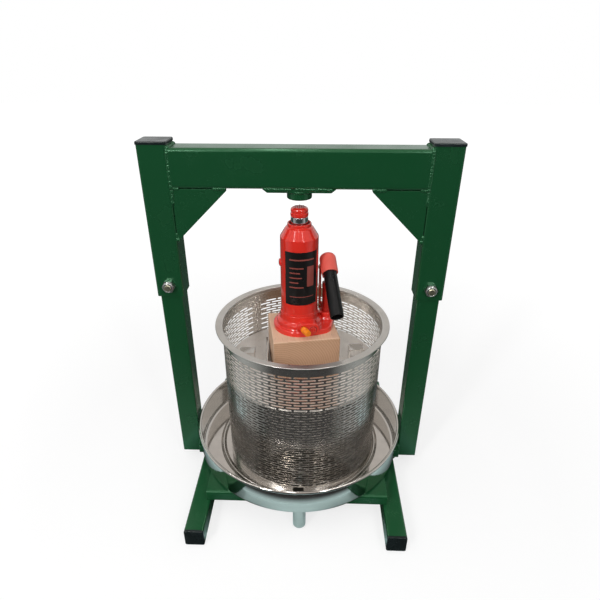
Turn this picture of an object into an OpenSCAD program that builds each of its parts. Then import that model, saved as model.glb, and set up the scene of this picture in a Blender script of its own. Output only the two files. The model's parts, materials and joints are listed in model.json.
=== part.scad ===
// Hydraulic fruit press. A bottle jack stands on a block and a round plate inside a slotted
// basket, and pushes against a steel yoke. The juice runs into a tray with a spout.
// Millimetres. The origin is the middle of the footprint, on the ground. +Z is up and
// -Y is the operator's side, where the spout hangs.

/* [Base] */
// Outside size of the square foot tubes
foot_size = 30; // [24:0.5:40]
// Wall of the foot tubes
foot_wall = 2; // [1.2:0.1:3]
// Outside corner radius of the foot tubes
foot_corner = 3; // [1:0.1:5]
// Length of each foot tube
foot_length = 380; // [320:1:480]
// Width over the outer faces of the two feet
foot_span = 336; // [300:1:348]
// Front to back depth of the flat bar that joins the posts
crossbar_depth = 60; // [40:1:100]
// Height of that bar
crossbar_height = 15; // [10:0.5:25]
// Gap between the deck's front lip and the spout
deck_spout_gap = 8.6; // [3:0.1:40]
// Sheet thickness of the deck
deck_sheet = 3; // [1.5:0.1:5]
// Outside bend radius of the deck's lips
deck_bend = 5; // [4:0.1:8]
// How far the deck reaches over each foot
deck_lap = 6; // [3:0.5:15]

/* [Yoke] */
// Outside size of the square upper post tubes
post_size = 40; // [34:0.5:50]
// Wall of the upper post tubes
post_wall = 3; // [1.5:0.1:4]
// Outside corner radius of the upper post tubes
post_corner = 3.5; // [2:0.1:6]
// Length of each upper post
upper_post_length = 220; // [160:1:250]
// Play all round between lower and upper post
post_play = 0.6; // [0.2:0.05:0.9]
// Wall of the lower post tubes
lower_post_wall = 2; // [1.2:0.1:3]
// Length of lower post inside the upper post
lower_post_insert = 60; // [35:1:110]
// How far the lower posts reach down beside the feet
lower_post_drop = 7.5; // [0:0.5:25]
// How far the posts stand above the beam
post_rise = 4; // [2:0.5:20]
// Height of the beam
beam_height = 53; // [35:1:80]
// Wall of the beam
beam_wall = 2.5; // [1.5:0.1:5]
// Outside corner radius of the beam
beam_corner = 5; // [2:0.1:6]
// Leg of a corner gusset along the beam
gusset_width = 75; // [40:1:100]
// Leg of a corner gusset along the post
gusset_drop = 74; // [40:1:100]
// Thickness of a corner gusset
gusset_sheet = 4; // [2:0.1:8]
// Blunt end of a corner gusset
gusset_nose = 3; // [1:0.1:8]
// How far a corner gusset stands behind the tubes' faces
gusset_set_in = 2; // [1:0.1:5]
// Length of the pad plate under the beam
pad_length = 100; // [60:1:130]
// Bevel at each end of the pad plate
pad_bevel = 6.5; // [2:0.5:12]
// Front to back depth of the pad plate
pad_depth = 36; // [35:0.5:40]
// Thickness of the pad plate
pad_sheet = 5; // [3:0.1:10]
// Outside diameter of the ring that takes the saddle
ring_d = 35; // [32:0.5:35.5]
// Height of that ring
ring_height = 11; // [6:0.5:20]
// Play all round between saddle and ring
ring_play = 1.4; // [0.6:0.1:1.8]

/* [Caps and bolts] */
// Thickness of a tube cap outside its tube
cap_flange = 4; // [2:0.1:8]
// Depth of a tube cap inside its tube
cap_plug = 12; // [6:0.5:20]
// Play all round between a cap's plug and its tube
cap_play = 0.2; // [0.1:0.05:0.4]
// Diameter of the post bolts
bolt_d = 10; // [6:0.5:12]
// Play all round between a bolt and its holes
bolt_play = 0.25; // [0.1:0.05:0.5]
// Height of a bolt above the lower end of the upper post
bolt_up = 18; // [14:0.5:30]
// Width across the flats of bolt head and nut
hex_across = 17; // [15:0.5:21]
// Height of a bolt head
bolt_head = 6.4; // [4:0.1:10]
// Height of the hexagon of a nut
nut_hex = 7; // [5:0.1:10]
// Height of the locking collar of a nut
nut_collar = 2.5; // [1:0.1:4]
// Bolt end that shows past the nut
bolt_end = 1.5; // [0.5:0.1:6]
// Play all round between a nut and its bolt
thread_play = 0.06; // [0.03:0.01:0.1]

/* [Tray] */
// Diameter over the rolled rim of the tray
tray_d = 351; // [346:1:400]
// Height of the tray
tray_height = 50.5; // [35:0.5:80]
// Sheet thickness of the tray
tray_sheet = 1.2; // [0.8:0.1:2.5]
// Corner radius between floor and wall
tray_corner = 8; // [4:0.5:9]
// How much wider the wall is at the top, on the radius
tray_flare = 2; // [0:0.5:4]
// Diameter of the rolled rim
tray_roll_d = 5; // [3:0.1:8]
// Gap between the tray's rim and the lower posts
tray_gap = 1.9; // [0.8:0.1:10]
// Width of the raised ring in the tray's floor
bead_width = 7; // [4:0.1:8]
// Height of that ring
bead_height = 3; // [1.5:0.1:3.4]
// Gap between that ring and the basket
bead_gap = 5.6; // [5.2:0.1:9]
// Outside diameter of the spout
spout_d = 20; // [12:0.5:21]
// Wall of the spout
spout_wall = 1; // [0.6:0.1:2]
// Height of the spout's mouth above the ground
spout_clear = 5; // [2:0.5:25]
// Floor left between the spout and the tray's corner
spout_margin = 1; // [0.5:0.1:3]
// Angle of the spout from the front
spout_turn = 2; // [-10:1:10]

/* [Basket] */
// Outside diameter of the basket's wall
basket_d = 252; // [236:1:256]
// Sheet thickness of the basket
basket_sheet = 1; // [0.8:0.1:2.5]
// Height of the basket with its hem
basket_height = 242; // [215:1:270]
// How far the hem stands out from the wall
hem_out = 10.5; // [5:0.5:14]
// Height of the hem
hem_height = 6; // [4:0.5:9]
// Thickness of the hem's flange
hem_sheet = 2; // [1:0.1:3.5]
// Rows of slots
slot_rows = 12; // [8:1:12]
// Slots around the basket
slots_around = 24; // [18:1:24]
// Length of a slot
slot_length = 26; // [14:0.5:27]
// Height of a slot
slot_height = 5; // [2:0.5:8]
// Plain band under the slots
slot_band_low = 10; // [5:1:20]
// Plain band over the slots
slot_band_high = 16; // [8:1:30]
// Width of the drain notch at the basket's foot
notch_width = 17.5; // [10:0.5:24]
// Height of that notch
notch_height = 6; // [3:0.5:8]
// Angle of the weld seam, where the slots stop
seam_angle = 132; // [0:1:359]

/* [Press plate and block] */
// Turn of the block and jack about the middle
head_turn = 10; // [-20:1:20]
// Turn of the block and jack against the plate's rails
block_skew = 5; // [0:0.5:5]
// Basket, plate and block to the pump's side of the jack's axis
load_shift = 5; // [0:0.1:5.4]
// Height of the plate above the tray's floor
plate_up = 158; // [130:1:175]
// Thickness of the plate
plate_sheet = 4; // [2:0.1:8]
// Play all round between plate and basket
plate_play = 0.6; // [0.3:0.05:0.9]
// Thickness of the rails beside the block
rail_sheet = 3; // [2:0.1:6]
// Height of the rails
rail_height = 25; // [12:0.5:40]
// Length of the rails
rail_length = 80; // [50:1:100]
// Gap between a rail and the block, which leaves room for the block's turn
rail_gap = 4.6; // [4.4:0.1:8]
// Size of the square tube grips
grip_size = 25; // [20:0.5:28]
// Wall of the grips
grip_wall = 2; // [1:0.1:3]
// Length of the grips
grip_length = 18; // [12:0.5:40]
// Distance between a rail and its grip
grip_apart = 18; // [10:0.5:20]
// Width of the wooden block
block_width = 102; // [98:1:106]
// Front to back depth of the wooden block
block_depth = 95; // [88:1:98]
// Block's place in front of the plate's middle
block_forward = 3; // [0:0.5:3]
// Height of the wooden block
block_height = 71; // [50:1:90]
// Rounding of the block's upright edges
block_corner = 3; // [1:0.1:8]

/* [Jack] */
// Diameter of the base's round flange
base_d = 81; // [78:0.5:90]
// Thickness of the flange
base_sheet = 8; // [5:0.1:9]
// Radius of the flange's front corner at the pump's side
corner_r = 21.5; // [19:0.5:24]
// Middle of that corner to the side of the jack's axis
corner_side = 28.5; // [25:0.5:31]
// Middle of that corner in front of the jack's axis
corner_front = 14; // [11:0.5:16]
// Radius of the flange's lobe under the pump
lobe_r = 16; // [15:0.5:20]
// Diameter of the collar at its foot
collar_d = 70; // [66:0.5:76]
// Height of the collar
collar_height = 20; // [16:0.5:24]
// Diameter of the oil tank
tank_d = 56.4; // [50:0.2:60]
// Wall of the oil tank
tank_wall = 2; // [1.2:0.1:3]
// Height of the oil tank
tank_height = 140; // [130:1:150]
// Height of the tank's shoulder
shoulder_height = 15; // [10:0.5:24]
// Diameter of the tank's neck
neck_d = 34.8; // [33:0.2:38]
// Height of the tank's neck
neck_height = 5; // [3:0.5:10]
// Diameter of the ram
ram_d = 25; // [20:0.2:25.4]
// Length of ram that shows under the saddle
ram_shown = 9; // [3:0.5:14]
// Travel left to the ram
ram_travel = 107; // [60:1:110]
// Diameter of the saddle
saddle_d = 26; // [25:0.1:27]
// Height of the saddle
saddle_height = 14; // [10:0.5:20]
// Free height between saddle and ring
saddle_gap = 12; // [11:0.5:30]
// Diameter of the extension screw
screw_d = 16; // [12:0.2:18]
// Length of the extension screw inside the ram
screw_length = 54; // [30:1:80]
// Outside diameter of the pressure cylinder
cylinder_d = 32; // [30:0.2:36]
// Running clearance all round on ram and plunger
running_play = 0.08; // [0.04:0.01:0.1]
// Height of the label on the tank
label_height = 84; // [50:1:100]
// Height of the label's lower edge above the collar
label_up = 20; // [10:1:30]
// Angle that the label covers
label_sweep = 108; // [60:1:140]
// Thickness of the label
label_sheet = 0.2; // [0.1:0.05:0.5]
// Glue between label and tank
label_glue = 0.05; // [0.02:0.01:0.1]

/* [Pump] */
// Outside diameter of the handle socket
socket_d = 25; // [23:0.1:26]
// Length of the handle socket
socket_length = 33; // [33:0.5:46]
// Rounding of the socket's closed end
socket_round = 8; // [2:0.5:9]
// Gap between socket and tank
socket_gap = 3.3; // [2:0.1:8]
// Height of the socket's axis over the plunger pin
socket_up = 22; // [21:0.1:26]
// Socket in front of the plunger pin
socket_front = 12; // [6:0.1:13]
// Diameter of the handle tube
handle_d = 20; // [16:0.1:20.6]
// Wall of the handle tube
handle_wall = 1.5; // [1:0.1:2.5]
// Length of the handle tube
handle_length = 98; // [80:1:112]
// Length of handle inside the socket
handle_insert = 26; // [20:0.5:27]
// Play all round between handle and socket
handle_play = 0.15; // [0.05:0.01:0.3]
// Angle of the handle below level
handle_droop = 36; // [25:1:45]
// Angle that the handle swings up
handle_swing = 60; // [40:1:60]
// Distance from the link pin to the plunger pin
lever_arm = 14; // [12:0.1:16]
// Distance between the link's two pins
link_length = 67; // [64:0.5:75]
// Height of the link's lower pin in the base
link_pin_up = 21; // [19:0.5:24]
// Width of a link plate
link_width = 9; // [8:0.1:11]
// Thickness of a link plate
link_sheet = 2.5; // [1.5:0.1:3.5]
// Diameter of the link and plunger pins
pin_d = 6; // [4:0.1:7]
// Play all round of the plunger pin in its slot
slot_play = 0.35; // [0.25:0.05:0.6]
// Place of the pump behind the jack's middle
pump_back = 7; // [4:0.5:10]
// Outside diameter of the pump cylinder
pump_d = 14; // [12:0.2:16]
// Height of the pump cylinder
pump_height = 50; // [40:0.5:51]
// Diameter of the pump plunger
plunger_d = 9; // [7:0.1:9.6]

/* [Valves and plugs] */
// Width of the valve boss
boss_width = 34; // [30:0.5:40]
// Height of the valve boss
boss_height = 21; // [18:0.5:24]
// Distance of the boss's face from the jack's middle
boss_front = 38.5; // [36:0.1:41]
// Gap between the release valve's knob and the flange
valve_gap = 0.6; // [0.3:0.1:2]
// Angle of the release valve to the right of straight ahead
valve_turn = 20; // [0:1:25]
// Diameter of the release valve's stem
stem_d = 8; // [5:0.1:9]
// Length of the stem in the base
stem_length = 16; // [10:0.5:18]
// Diameter of the release valve's knob
knob_d = 10; // [8:0.1:11]
// Length of the knob
knob_length = 15; // [10:0.5:20]
// Diameter of the check valve plug
plug_d = 10; // [6:0.1:11]
// Distance between valve and plug
plug_apart = 16; // [14:0.5:18]
// Height of that plug below the release valve
plug_down = 3; // [0:0.1:3.5]
// Diameter of the oil filler plug
filler_d = 12; // [8:0.1:16]
// Height of the filler plug above the collar
filler_up = 80; // [60:1:95]
// How far the filler plug stands out
filler_out = 2.5; // [1:0.1:5]
// Diameter of the filler hole
filler_hole_d = 8; // [5:0.1:8]

/* [Hidden] */
$fn = 96;

// Cuts run past their faces by this much
overrun = 1;
sides = [-1, 1];

// Colours
green_paint = [0.10, 0.27, 0.15];
red_paint = [0.80, 0.17, 0.14];
orange_paint = [0.95, 0.50, 0.08];
black_plastic = [0.10, 0.10, 0.11];
black_paint = [0.08, 0.08, 0.09];
stainless = [0.75, 0.73, 0.70];
bright_steel = [0.80, 0.80, 0.81];
zinc = [0.78, 0.77, 0.70];
beech = [0.85, 0.70, 0.55];
seal_rubber = [0.15, 0.15, 0.16];

// Heights, from the ground up
crossbar_top = foot_size + crossbar_height;
deck_top = crossbar_top + deck_sheet;
tray_floor = deck_top + tray_sheet;
basket_top = tray_floor + basket_height;
hem_bottom = basket_top - hem_height;
plate_bottom = tray_floor + plate_up;
plate_top = plate_bottom + plate_sheet;
jack_bottom = plate_top + block_height;
flange_top = jack_bottom + base_sheet;
collar_top = flange_top + collar_height;
tank_top = collar_top + tank_height;
saddle_bottom = tank_top + ram_shown;
saddle_top = saddle_bottom + saddle_height;
ring_bottom = saddle_top + saddle_gap;
ring_top = ring_bottom + ring_height;
beam_bottom = ring_top + pad_sheet;
beam_top = beam_bottom + beam_height;
post_top = beam_top + post_rise;
upper_post_bottom = post_top - upper_post_length;
lower_post_bottom = foot_size - lower_post_drop;
bolt_z = upper_post_bottom + bolt_up;

// Places across the press
tray_r = tray_d / 2;
lower_post_size = post_size - 2 * post_wall - 2 * post_play;
lower_post_corner = post_corner - post_wall / 2;
post_x = tray_r + tray_gap + lower_post_size / 2;
post_face = post_x - post_size / 2;
lower_post_face = post_x - lower_post_size / 2;
foot_x = foot_span / 2 - foot_size / 2;
deck_width = foot_span - 2 * foot_size + 2 * deck_lap;

// Tray and basket
tray_roll_r = tray_roll_d / 2;
tray_wall_top_r = tray_r - tray_roll_r + tray_sheet / 2;
tray_wall_low_r = tray_wall_top_r - tray_flare;
tray_flat_r = tray_wall_low_r - tray_corner;
spout_place_r = tray_flat_r - spout_margin - spout_d / 2;
deck_depth = 2 * (spout_place_r - spout_d / 2 - deck_spout_gap);
basket_r = basket_d / 2;
basket_inner_r = basket_r - basket_sheet;
bead_r = basket_r + bead_gap + bead_width / 2;
slot_zone = basket_height - hem_height - slot_band_low - slot_band_high;
slot_pitch = slot_zone / slot_rows;
slot_step = 360 / slots_around;

// Plate and block
rail_inner = block_width / 2 + rail_gap;
grip_x = rail_inner + rail_sheet + grip_apart + grip_size / 2;
plate_turn = head_turn - block_skew;

// Jack
tank_r = tank_d / 2;
ram_r = ram_d / 2;
cylinder_bore_r = ram_r + running_play;
cylinder_seat = collar_height / 2;
cylinder_bottom = collar_top - cylinder_seat;
shoulder_bottom = tank_top - neck_height - shoulder_height;
neck_bottom = tank_top - neck_height;
neck_bore_r = neck_d / 2 - tank_wall;
gland_height_share = 2;
gland_bottom = tank_top - gland_height_share * neck_height;
gland_drop_share = 0.6;
gland_top = tank_top - gland_drop_share * neck_height;
ram_bottom = cylinder_bottom + ram_shown;
seal_height = ram_d / 6;
seal_depth = ram_d / 12;
valve_z = flange_top + valve_gap + knob_d / 2;
plug_z = valve_z - plug_down;
boss_round_share = 0.4;

// Pump linkage: the lever turns about the link's upper pin and lifts the plunger pin
half_swing = handle_swing / 2;
pump_x = tank_r + socket_gap + socket_d / 2;
link_y = pump_back + lever_arm * (1 + cos(half_swing)) / 2;
link_low_z = jack_bottom + link_pin_up;
link_high_z = link_low_z + link_length;
plunger_pin_y = link_y - lever_arm * cos(half_swing);
plunger_pin_z = link_high_z - lever_arm * sin(half_swing);
pivot_u = lever_arm * cos(half_swing - handle_droop);
pivot_v = lever_arm * sin(half_swing - handle_droop);
socket_bore_d = handle_d + 2 * handle_play;
eye_sheet_share = 2 / 3;
eye_sheet = eye_sheet_share * plunger_d;
eye_rim_share = 0.4;
eye_r = pin_d / 2 + eye_rim_share * plunger_d;
lug_r = pin_d / 2 + link_sheet;
lug_sheet = eye_sheet / 2;
lug_gap = eye_sheet / 12;
lug_inner = eye_sheet / 2 + lug_gap;
lug_outer = lug_inner + lug_sheet;
link_inner = lug_outer + lug_gap;
link_outer = link_inner + link_sheet;
pin_slip = lever_arm * (1 - cos(half_swing)) / 2 + slot_play / 2;
pump_pad_top = link_low_z - pin_d / 2;
pump_top = pump_pad_top + pump_height;
plunger_foot = pump_pad_top + pump_d / 2;
plunger_shoulder = pump_top + eye_sheet / 3;

// Round-cornered rectangle about the middle
module rounded_square(width, height, corner) {
    square([width - 2 * corner, height], center = true);
    square([width, height - 2 * corner], center = true);
    for (sx = sides, sy = sides)
        translate([sx * (width / 2 - corner), sy * (height / 2 - corner)])
            circle(corner);
}

// Section of a rectangular tube about the middle
module tube_section(width, height, wall, corner) {
    difference() {
        rounded_square(width, height, corner);
        rounded_square(width - 2 * wall, height - 2 * wall, max(corner - wall, wall / 2));
    }
}

// Two circles joined by their outer tangents
module joined_circles(first_r, second, second_r) {
    reach = norm(second);
    heading = atan2(second[1], second[0]);
    lean = acos((first_r - second_r) / reach);
    circle(first_r);
    translate(second)
        circle(second_r);
    polygon([
        first_r * [cos(heading + lean), sin(heading + lean)],
        second + second_r * [cos(heading + lean), sin(heading + lean)],
        second + second_r * [cos(heading - lean), sin(heading - lean)],
        first_r * [cos(heading - lean), sin(heading - lean)]
    ]);
}

// Straight bar with round ends between two points in a plane
module round_bar(first, second, width) {
    run = second - first;
    across = width / 2 * [-run[1], run[0]] / norm(run);
    translate(first)
        circle(d = width);
    translate(second)
        circle(d = width);
    polygon([first + across, second + across, second - across, first - across]);
}

// Hexagon prism along -Y with its base on the XZ plane
module hex_prism(height) {
    rotate([90, 0, 0])
        cylinder(d = hex_across / cos(30), h = height, $fn = 6);
}

// Round bar along X about the middle
module cross_pin(diameter, length) {
    rotate([0, 90, 0])
        cylinder(d = diameter, h = length, center = true);
}

// What turns with the press head
module turned() {
    rotate([0, 0, head_turn])
        children();
}

// What stands on the basket's axis
module loaded(turn) {
    translate([load_shift, 0, 0])
        rotate([0, 0, turn])
            children();
}

// Frame of the handle socket: the plunger pin at rest, with -Y along the handle
module at_socket() {
    turned()
        translate([pump_x, plunger_pin_y, plunger_pin_z])
            rotate([handle_droop, 0, 0])
                children();
}

// Frame of the release valve: the boss's face, with +Z out along the valve
module at_valve() {
    turned()
        translate([0, -boss_front, valve_z])
            rotate([90, 0, valve_turn])
                children();
}

module foot(side) {
    color(green_paint)
        translate([side * foot_x, 0, foot_size / 2])
            rotate([90, 0, 0])
                linear_extrude(foot_length, center = true)
                    tube_section(foot_size, foot_size, foot_wall, foot_corner);
}

module left_foot() {
    foot(-1);
}

module right_foot() {
    foot(1);
}

// Flange and plug of a tube cap, the flange above the XY plane
module tube_cap(size, wall, corner) {
    plug = size - 2 * wall - 2 * cap_play;
    linear_extrude(cap_flange)
        rounded_square(size, size, corner);
    translate([0, 0, -cap_plug])
        linear_extrude(cap_plug)
            rounded_square(plug, plug, max(corner - wall, wall / 2));
}

module foot_end_caps() {
    color(black_plastic)
        for (sx = sides, sy = sides)
            translate([sx * foot_x, sy * foot_length / 2, foot_size / 2])
                rotate([-sy * 90, 0, 0])
                    tube_cap(foot_size, foot_wall, foot_corner);
}

module base_crossbar() {
    color(green_paint)
        translate([-lower_post_face, -crossbar_depth / 2, foot_size])
            cube([2 * lower_post_face, crossbar_depth, crossbar_height]);
}

// Half of the deck's folded section, in Y and Z
module deck_half_section() {
    half = deck_depth / 2;
    translate([0, crossbar_top])
        square([half - deck_bend, deck_sheet]);
    translate([half - deck_sheet, foot_size])
        square([deck_sheet, deck_top - deck_bend - foot_size]);
    translate([half - deck_bend, deck_top - deck_bend])
        intersection() {
            difference() {
                circle(deck_bend);
                circle(deck_bend - deck_sheet);
            }
            square(deck_bend);
        }
}

module deck() {
    color(green_paint)
        rotate([90, 0, 90])
            linear_extrude(deck_width, center = true) {
                deck_half_section();
                mirror([1, 0])
                    deck_half_section();
            }
}

// Hole for a post bolt, front to back
module bolt_hole() {
    translate([0, 0, bolt_z])
        rotate([90, 0, 0])
            cylinder(d = bolt_d + 2 * bolt_play, h = post_size + 2 * overrun, center = true);
}

module lower_post(side) {
    color(green_paint)
        translate([side * post_x, 0, 0])
            difference() {
                translate([0, 0, lower_post_bottom])
                    linear_extrude(upper_post_bottom + lower_post_insert - lower_post_bottom)
                        tube_section(lower_post_size, lower_post_size, lower_post_wall, lower_post_corner);
                bolt_hole();
            }
}

module left_lower_post() {
    lower_post(-1);
}

module right_lower_post() {
    lower_post(1);
}

module upper_post(side) {
    color(green_paint)
        translate([side * post_x, 0, 0])
            difference() {
                translate([0, 0, upper_post_bottom])
                    linear_extrude(upper_post_length)
                        tube_section(post_size, post_size, post_wall, post_corner);
                bolt_hole();
            }
}

module left_upper_post() {
    upper_post(-1);
}

module right_upper_post() {
    upper_post(1);
}

module top_beam() {
    color(green_paint)
        translate([0, 0, beam_bottom + beam_height / 2])
            rotate([90, 0, 90])
                linear_extrude(2 * post_face, center = true)
                    tube_section(post_size, beam_height, beam_wall, beam_corner);
}

// One gusset in X and Z, its corner at the meeting of post and beam
module gusset_outline() {
    polygon([
        [0, 0],
        [gusset_width, 0],
        [gusset_width, -gusset_nose],
        [gusset_nose, -gusset_drop],
        [0, -gusset_drop]
    ]);
}

module corner_gussets() {
    plate_y = post_size / 2 - gusset_set_in - gusset_sheet / 2;
    color(green_paint)
        for (sx = sides, sy = sides)
            translate([-sx * post_face, sy * plate_y, beam_bottom])
                rotate([90, 0, 0])
                    linear_extrude(gusset_sheet, center = true)
                        mirror([sx < 0 ? 1 : 0, 0])
                            gusset_outline();
}

module pad_plate() {
    half = pad_length / 2;
    color(green_paint)
        translate([0, 0, ring_top])
            rotate([90, 0, 0])
                linear_extrude(pad_depth, center = true)
                    polygon([
                        [-half, pad_sheet],
                        [-half + pad_bevel, 0],
                        [half - pad_bevel, 0],
                        [half, pad_sheet]
                    ]);
}

module saddle_ring() {
    color(green_paint)
        translate([0, 0, ring_bottom])
            difference() {
                cylinder(d = ring_d, h = ring_height);
                translate([0, 0, -overrun])
                    cylinder(d = saddle_d + 2 * ring_play, h = ring_height + 2 * overrun);
            }
}

module post_top_caps() {
    color(black_plastic)
        for (sx = sides)
            translate([sx * post_x, 0, post_top])
                tube_cap(post_size, post_wall, post_corner);
}

module post_bolts() {
    front = post_size / 2 + nut_hex + nut_collar + bolt_end;
    color(zinc)
        for (sx = sides)
            translate([sx * post_x, 0, bolt_z]) {
                translate([0, -front, 0])
                    rotate([-90, 0, 0])
                        cylinder(d = bolt_d, h = front + post_size / 2);
                translate([0, post_size / 2 + bolt_head, 0])
                    hex_prism(bolt_head);
            }
}

module post_nuts() {
    color(zinc)
        for (sx = sides)
            translate([sx * post_x, -post_size / 2, bolt_z])
                difference() {
                    union() {
                        hex_prism(nut_hex);
                        translate([0, -nut_hex, 0])
                            rotate([90, 0, 0])
                                cylinder(d1 = hex_across, d2 = hex_across - nut_collar, h = nut_collar);
                    }
                    translate([0, overrun, 0])
                        rotate([90, 0, 0])
                            cylinder(d = bolt_d + 2 * thread_play, h = nut_hex + nut_collar + 2 * overrun);
                }
}

// Section of the tray, radius and height
module tray_section() {
    roll_z = deck_top + tray_height - tray_roll_r;
    bend_z = deck_top + tray_corner;
    translate([0, deck_top])
        square([tray_flat_r, tray_sheet]);
    translate([tray_flat_r, bend_z])
        intersection() {
            difference() {
                circle(tray_corner);
                circle(tray_corner - tray_sheet);
            }
            translate([0, -tray_corner])
                square(tray_corner);
        }
    polygon([
        [tray_wall_low_r, bend_z],
        [tray_wall_top_r, roll_z],
        [tray_wall_top_r - tray_sheet, roll_z],
        [tray_wall_low_r - tray_sheet, bend_z]
    ]);
    translate([tray_r - tray_roll_r, roll_z])
        circle(tray_roll_r);
    translate([bead_r, 0])
        intersection() {
            translate([0, tray_floor + bead_height - bead_width / 2])
                circle(d = bead_width);
            translate([-bead_width / 2, deck_top])
                square([bead_width, tray_sheet + bead_height]);
        }
}

// Place of the spout under the tray's floor
module at_spout() {
    rotate([0, 0, spout_turn])
        translate([0, -spout_place_r, 0])
            children();
}

module tray_bowl() {
    color(stainless)
        difference() {
            rotate_extrude()
                tray_section();
            at_spout()
                translate([0, 0, deck_top - overrun])
                    cylinder(d = spout_d - 2 * spout_wall, h = tray_sheet + 2 * overrun);
        }
}

module tray_spout() {
    color(stainless)
        at_spout()
            translate([0, 0, spout_clear])
                difference() {
                    cylinder(d = spout_d, h = deck_top - spout_clear);
                    translate([0, 0, -overrun])
                        cylinder(d = spout_d - 2 * spout_wall, h = deck_top - spout_clear + 2 * overrun);
                }
}

// Angle between two bearings, 0 to 180
function apart(first, second) = abs((first - second + 540) % 360 - 180);

module basket_wall() {
    wall_height = basket_height - hem_height;
    color(stainless)
        loaded(0)
            difference() {
                translate([0, 0, tray_floor])
                    cylinder(r = basket_r, h = wall_height);
                translate([0, 0, tray_floor - overrun])
                    cylinder(r = basket_inner_r, h = wall_height + 2 * overrun);
                for (row = [0 : slot_rows - 1], turn = [0 : slots_around - 1]) {
                    bearing = (turn + (row % 2) / 2) * slot_step;
                    if (apart(bearing, seam_angle) > slot_step / 2)
                        rotate([0, 0, bearing])
                            translate([
                                basket_inner_r - slot_length / 2,
                                -slot_length / 2,
                                tray_floor + slot_band_low + (row + 1 / 2) * slot_pitch - slot_height / 2
                            ])
                                cube([slot_length, slot_length, slot_height]);
                }
                translate([-notch_width / 2, -basket_r - overrun, tray_floor - overrun])
                    cube([notch_width, basket_r, notch_height + overrun]);
            }
}

module basket_hem() {
    round_r = hem_sheet / 2;
    color(stainless)
        loaded(0)
            rotate_extrude() {
                translate([basket_inner_r, hem_bottom])
                    square([basket_sheet, hem_height - round_r]);
                translate([basket_inner_r, basket_top - hem_sheet])
                    square([basket_sheet + hem_out - round_r, hem_sheet]);
                translate([basket_r + hem_out - round_r, basket_top - round_r])
                    circle(round_r);
            }
}

module press_plate() {
    color(stainless)
        loaded(0)
            translate([0, 0, plate_bottom])
                cylinder(r = basket_inner_r - plate_play, h = plate_sheet);
}

module plate_rails() {
    color(stainless)
        loaded(plate_turn)
            for (sx = sides)
                translate([sx * (rail_inner + rail_sheet / 2) - rail_sheet / 2, -rail_length / 2, plate_top])
                    cube([rail_sheet, rail_length, rail_height]);
}

module plate_grips() {
    color(stainless)
        loaded(plate_turn)
            for (sx = sides)
                translate([sx * grip_x, 0, plate_top + grip_size / 2])
                    rotate([90, 0, 0])
                        linear_extrude(grip_length, center = true)
                            tube_section(grip_size, grip_size, grip_wall, grip_wall);
}

module wood_block() {
    color(beech)
        loaded(head_turn)
            translate([0, -block_forward, plate_top])
                linear_extrude(block_height)
                    rounded_square(block_width, block_depth, block_corner);
}

// Flange of the jack's base: round under the tank, with a front corner and a pump lobe
module flange_outline() {
    corner = [corner_side, -corner_front];
    lobe = [pump_x, (pump_back + link_y) / 2];
    joined_circles(base_d / 2, corner, corner_r);
    joined_circles(base_d / 2, lobe, lobe_r);
    translate(corner)
        joined_circles(corner_r, lobe - corner, lobe_r);
    polygon([[0, 0], corner, lobe]);
}

// Rounded foot of the tank on the base, radius and height
module collar_section() {
    step_share = 0.55;
    waist_r = tank_r + (collar_d / 2 - tank_r) / 2;
    polygon([
        [0, flange_top],
        [collar_d / 2, flange_top],
        [waist_r, flange_top + step_share * collar_height],
        [tank_r + tank_wall, collar_top],
        [0, collar_top]
    ]);
}

module jack_base() {
    color(red_paint)
        difference() {
            turned()
                union() {
                    translate([0, 0, jack_bottom])
                        linear_extrude(base_sheet)
                            flange_outline();
                    rotate_extrude()
                        collar_section();
                    translate([plug_apart / 2, 0, jack_bottom + boss_height / 2])
                        rotate([90, 0, 0])
                            linear_extrude(boss_front)
                                rounded_square(boss_width, boss_height, boss_round_share * boss_height);
                    translate([pump_x, pump_back, flange_top - overrun])
                        cylinder(d = pump_d + base_sheet, h = pump_pad_top - flange_top + overrun);
                    translate([pump_x - lug_outer, link_y - link_width / 2, flange_top - overrun])
                        cube([2 * lug_outer, link_width, link_low_z + pin_d - flange_top + overrun]);
                }
            translate([0, 0, cylinder_bottom])
                cylinder(d = cylinder_d + 2 * running_play, h = cylinder_seat + overrun);
            at_valve()
                translate([0, 0, -stem_length])
                    cylinder(d = stem_d + 2 * running_play, h = stem_length + boss_width);
            turned() {
                translate([plug_apart, -boss_front, plug_z])
                    rotate([90, 0, 0])
                        translate([0, 0, -plug_d / 2])
                            cylinder(d = plug_d + 2 * thread_play, h = plug_d / 2 + overrun);
                translate([pump_x, link_y, link_low_z])
                    cross_pin(pin_d + 2 * thread_play, 2 * link_outer);
            }
        }
}

// Wall of the oil tank, radius and height
module tank_section() {
    round_share = 0.3;
    edge = round_share * neck_height;
    inner_r = tank_r - tank_wall;
    polygon([
        [inner_r, collar_top],
        [tank_r, collar_top],
        [tank_r, shoulder_bottom],
        [tank_r - edge / 2, shoulder_bottom + edge],
        [neck_d / 2 + edge, neck_bottom - edge],
        [neck_d / 2, neck_bottom],
        [neck_d / 2, tank_top - edge],
        [neck_d / 2 - edge / 2, tank_top],
        [neck_bore_r, tank_top],
        [neck_bore_r, gland_bottom],
        [cylinder_d / 2 + running_play, gland_bottom],
        [cylinder_d / 2 + running_play, gland_bottom - tank_wall],
        [inner_r, shoulder_bottom - tank_wall]
    ]);
}

module oil_tank() {
    color(red_paint)
        difference() {
            rotate_extrude()
                tank_section();
            at_filler()
                cylinder(d = filler_hole_d, h = tank_d);
        }
}

module pressure_cylinder() {
    color(bright_steel)
        translate([0, 0, cylinder_bottom])
            difference() {
                cylinder(d = cylinder_d, h = gland_bottom - cylinder_bottom);
                translate([0, 0, -overrun])
                    cylinder(r = cylinder_bore_r, h = gland_bottom - cylinder_bottom + 2 * overrun);
            }
}

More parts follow.
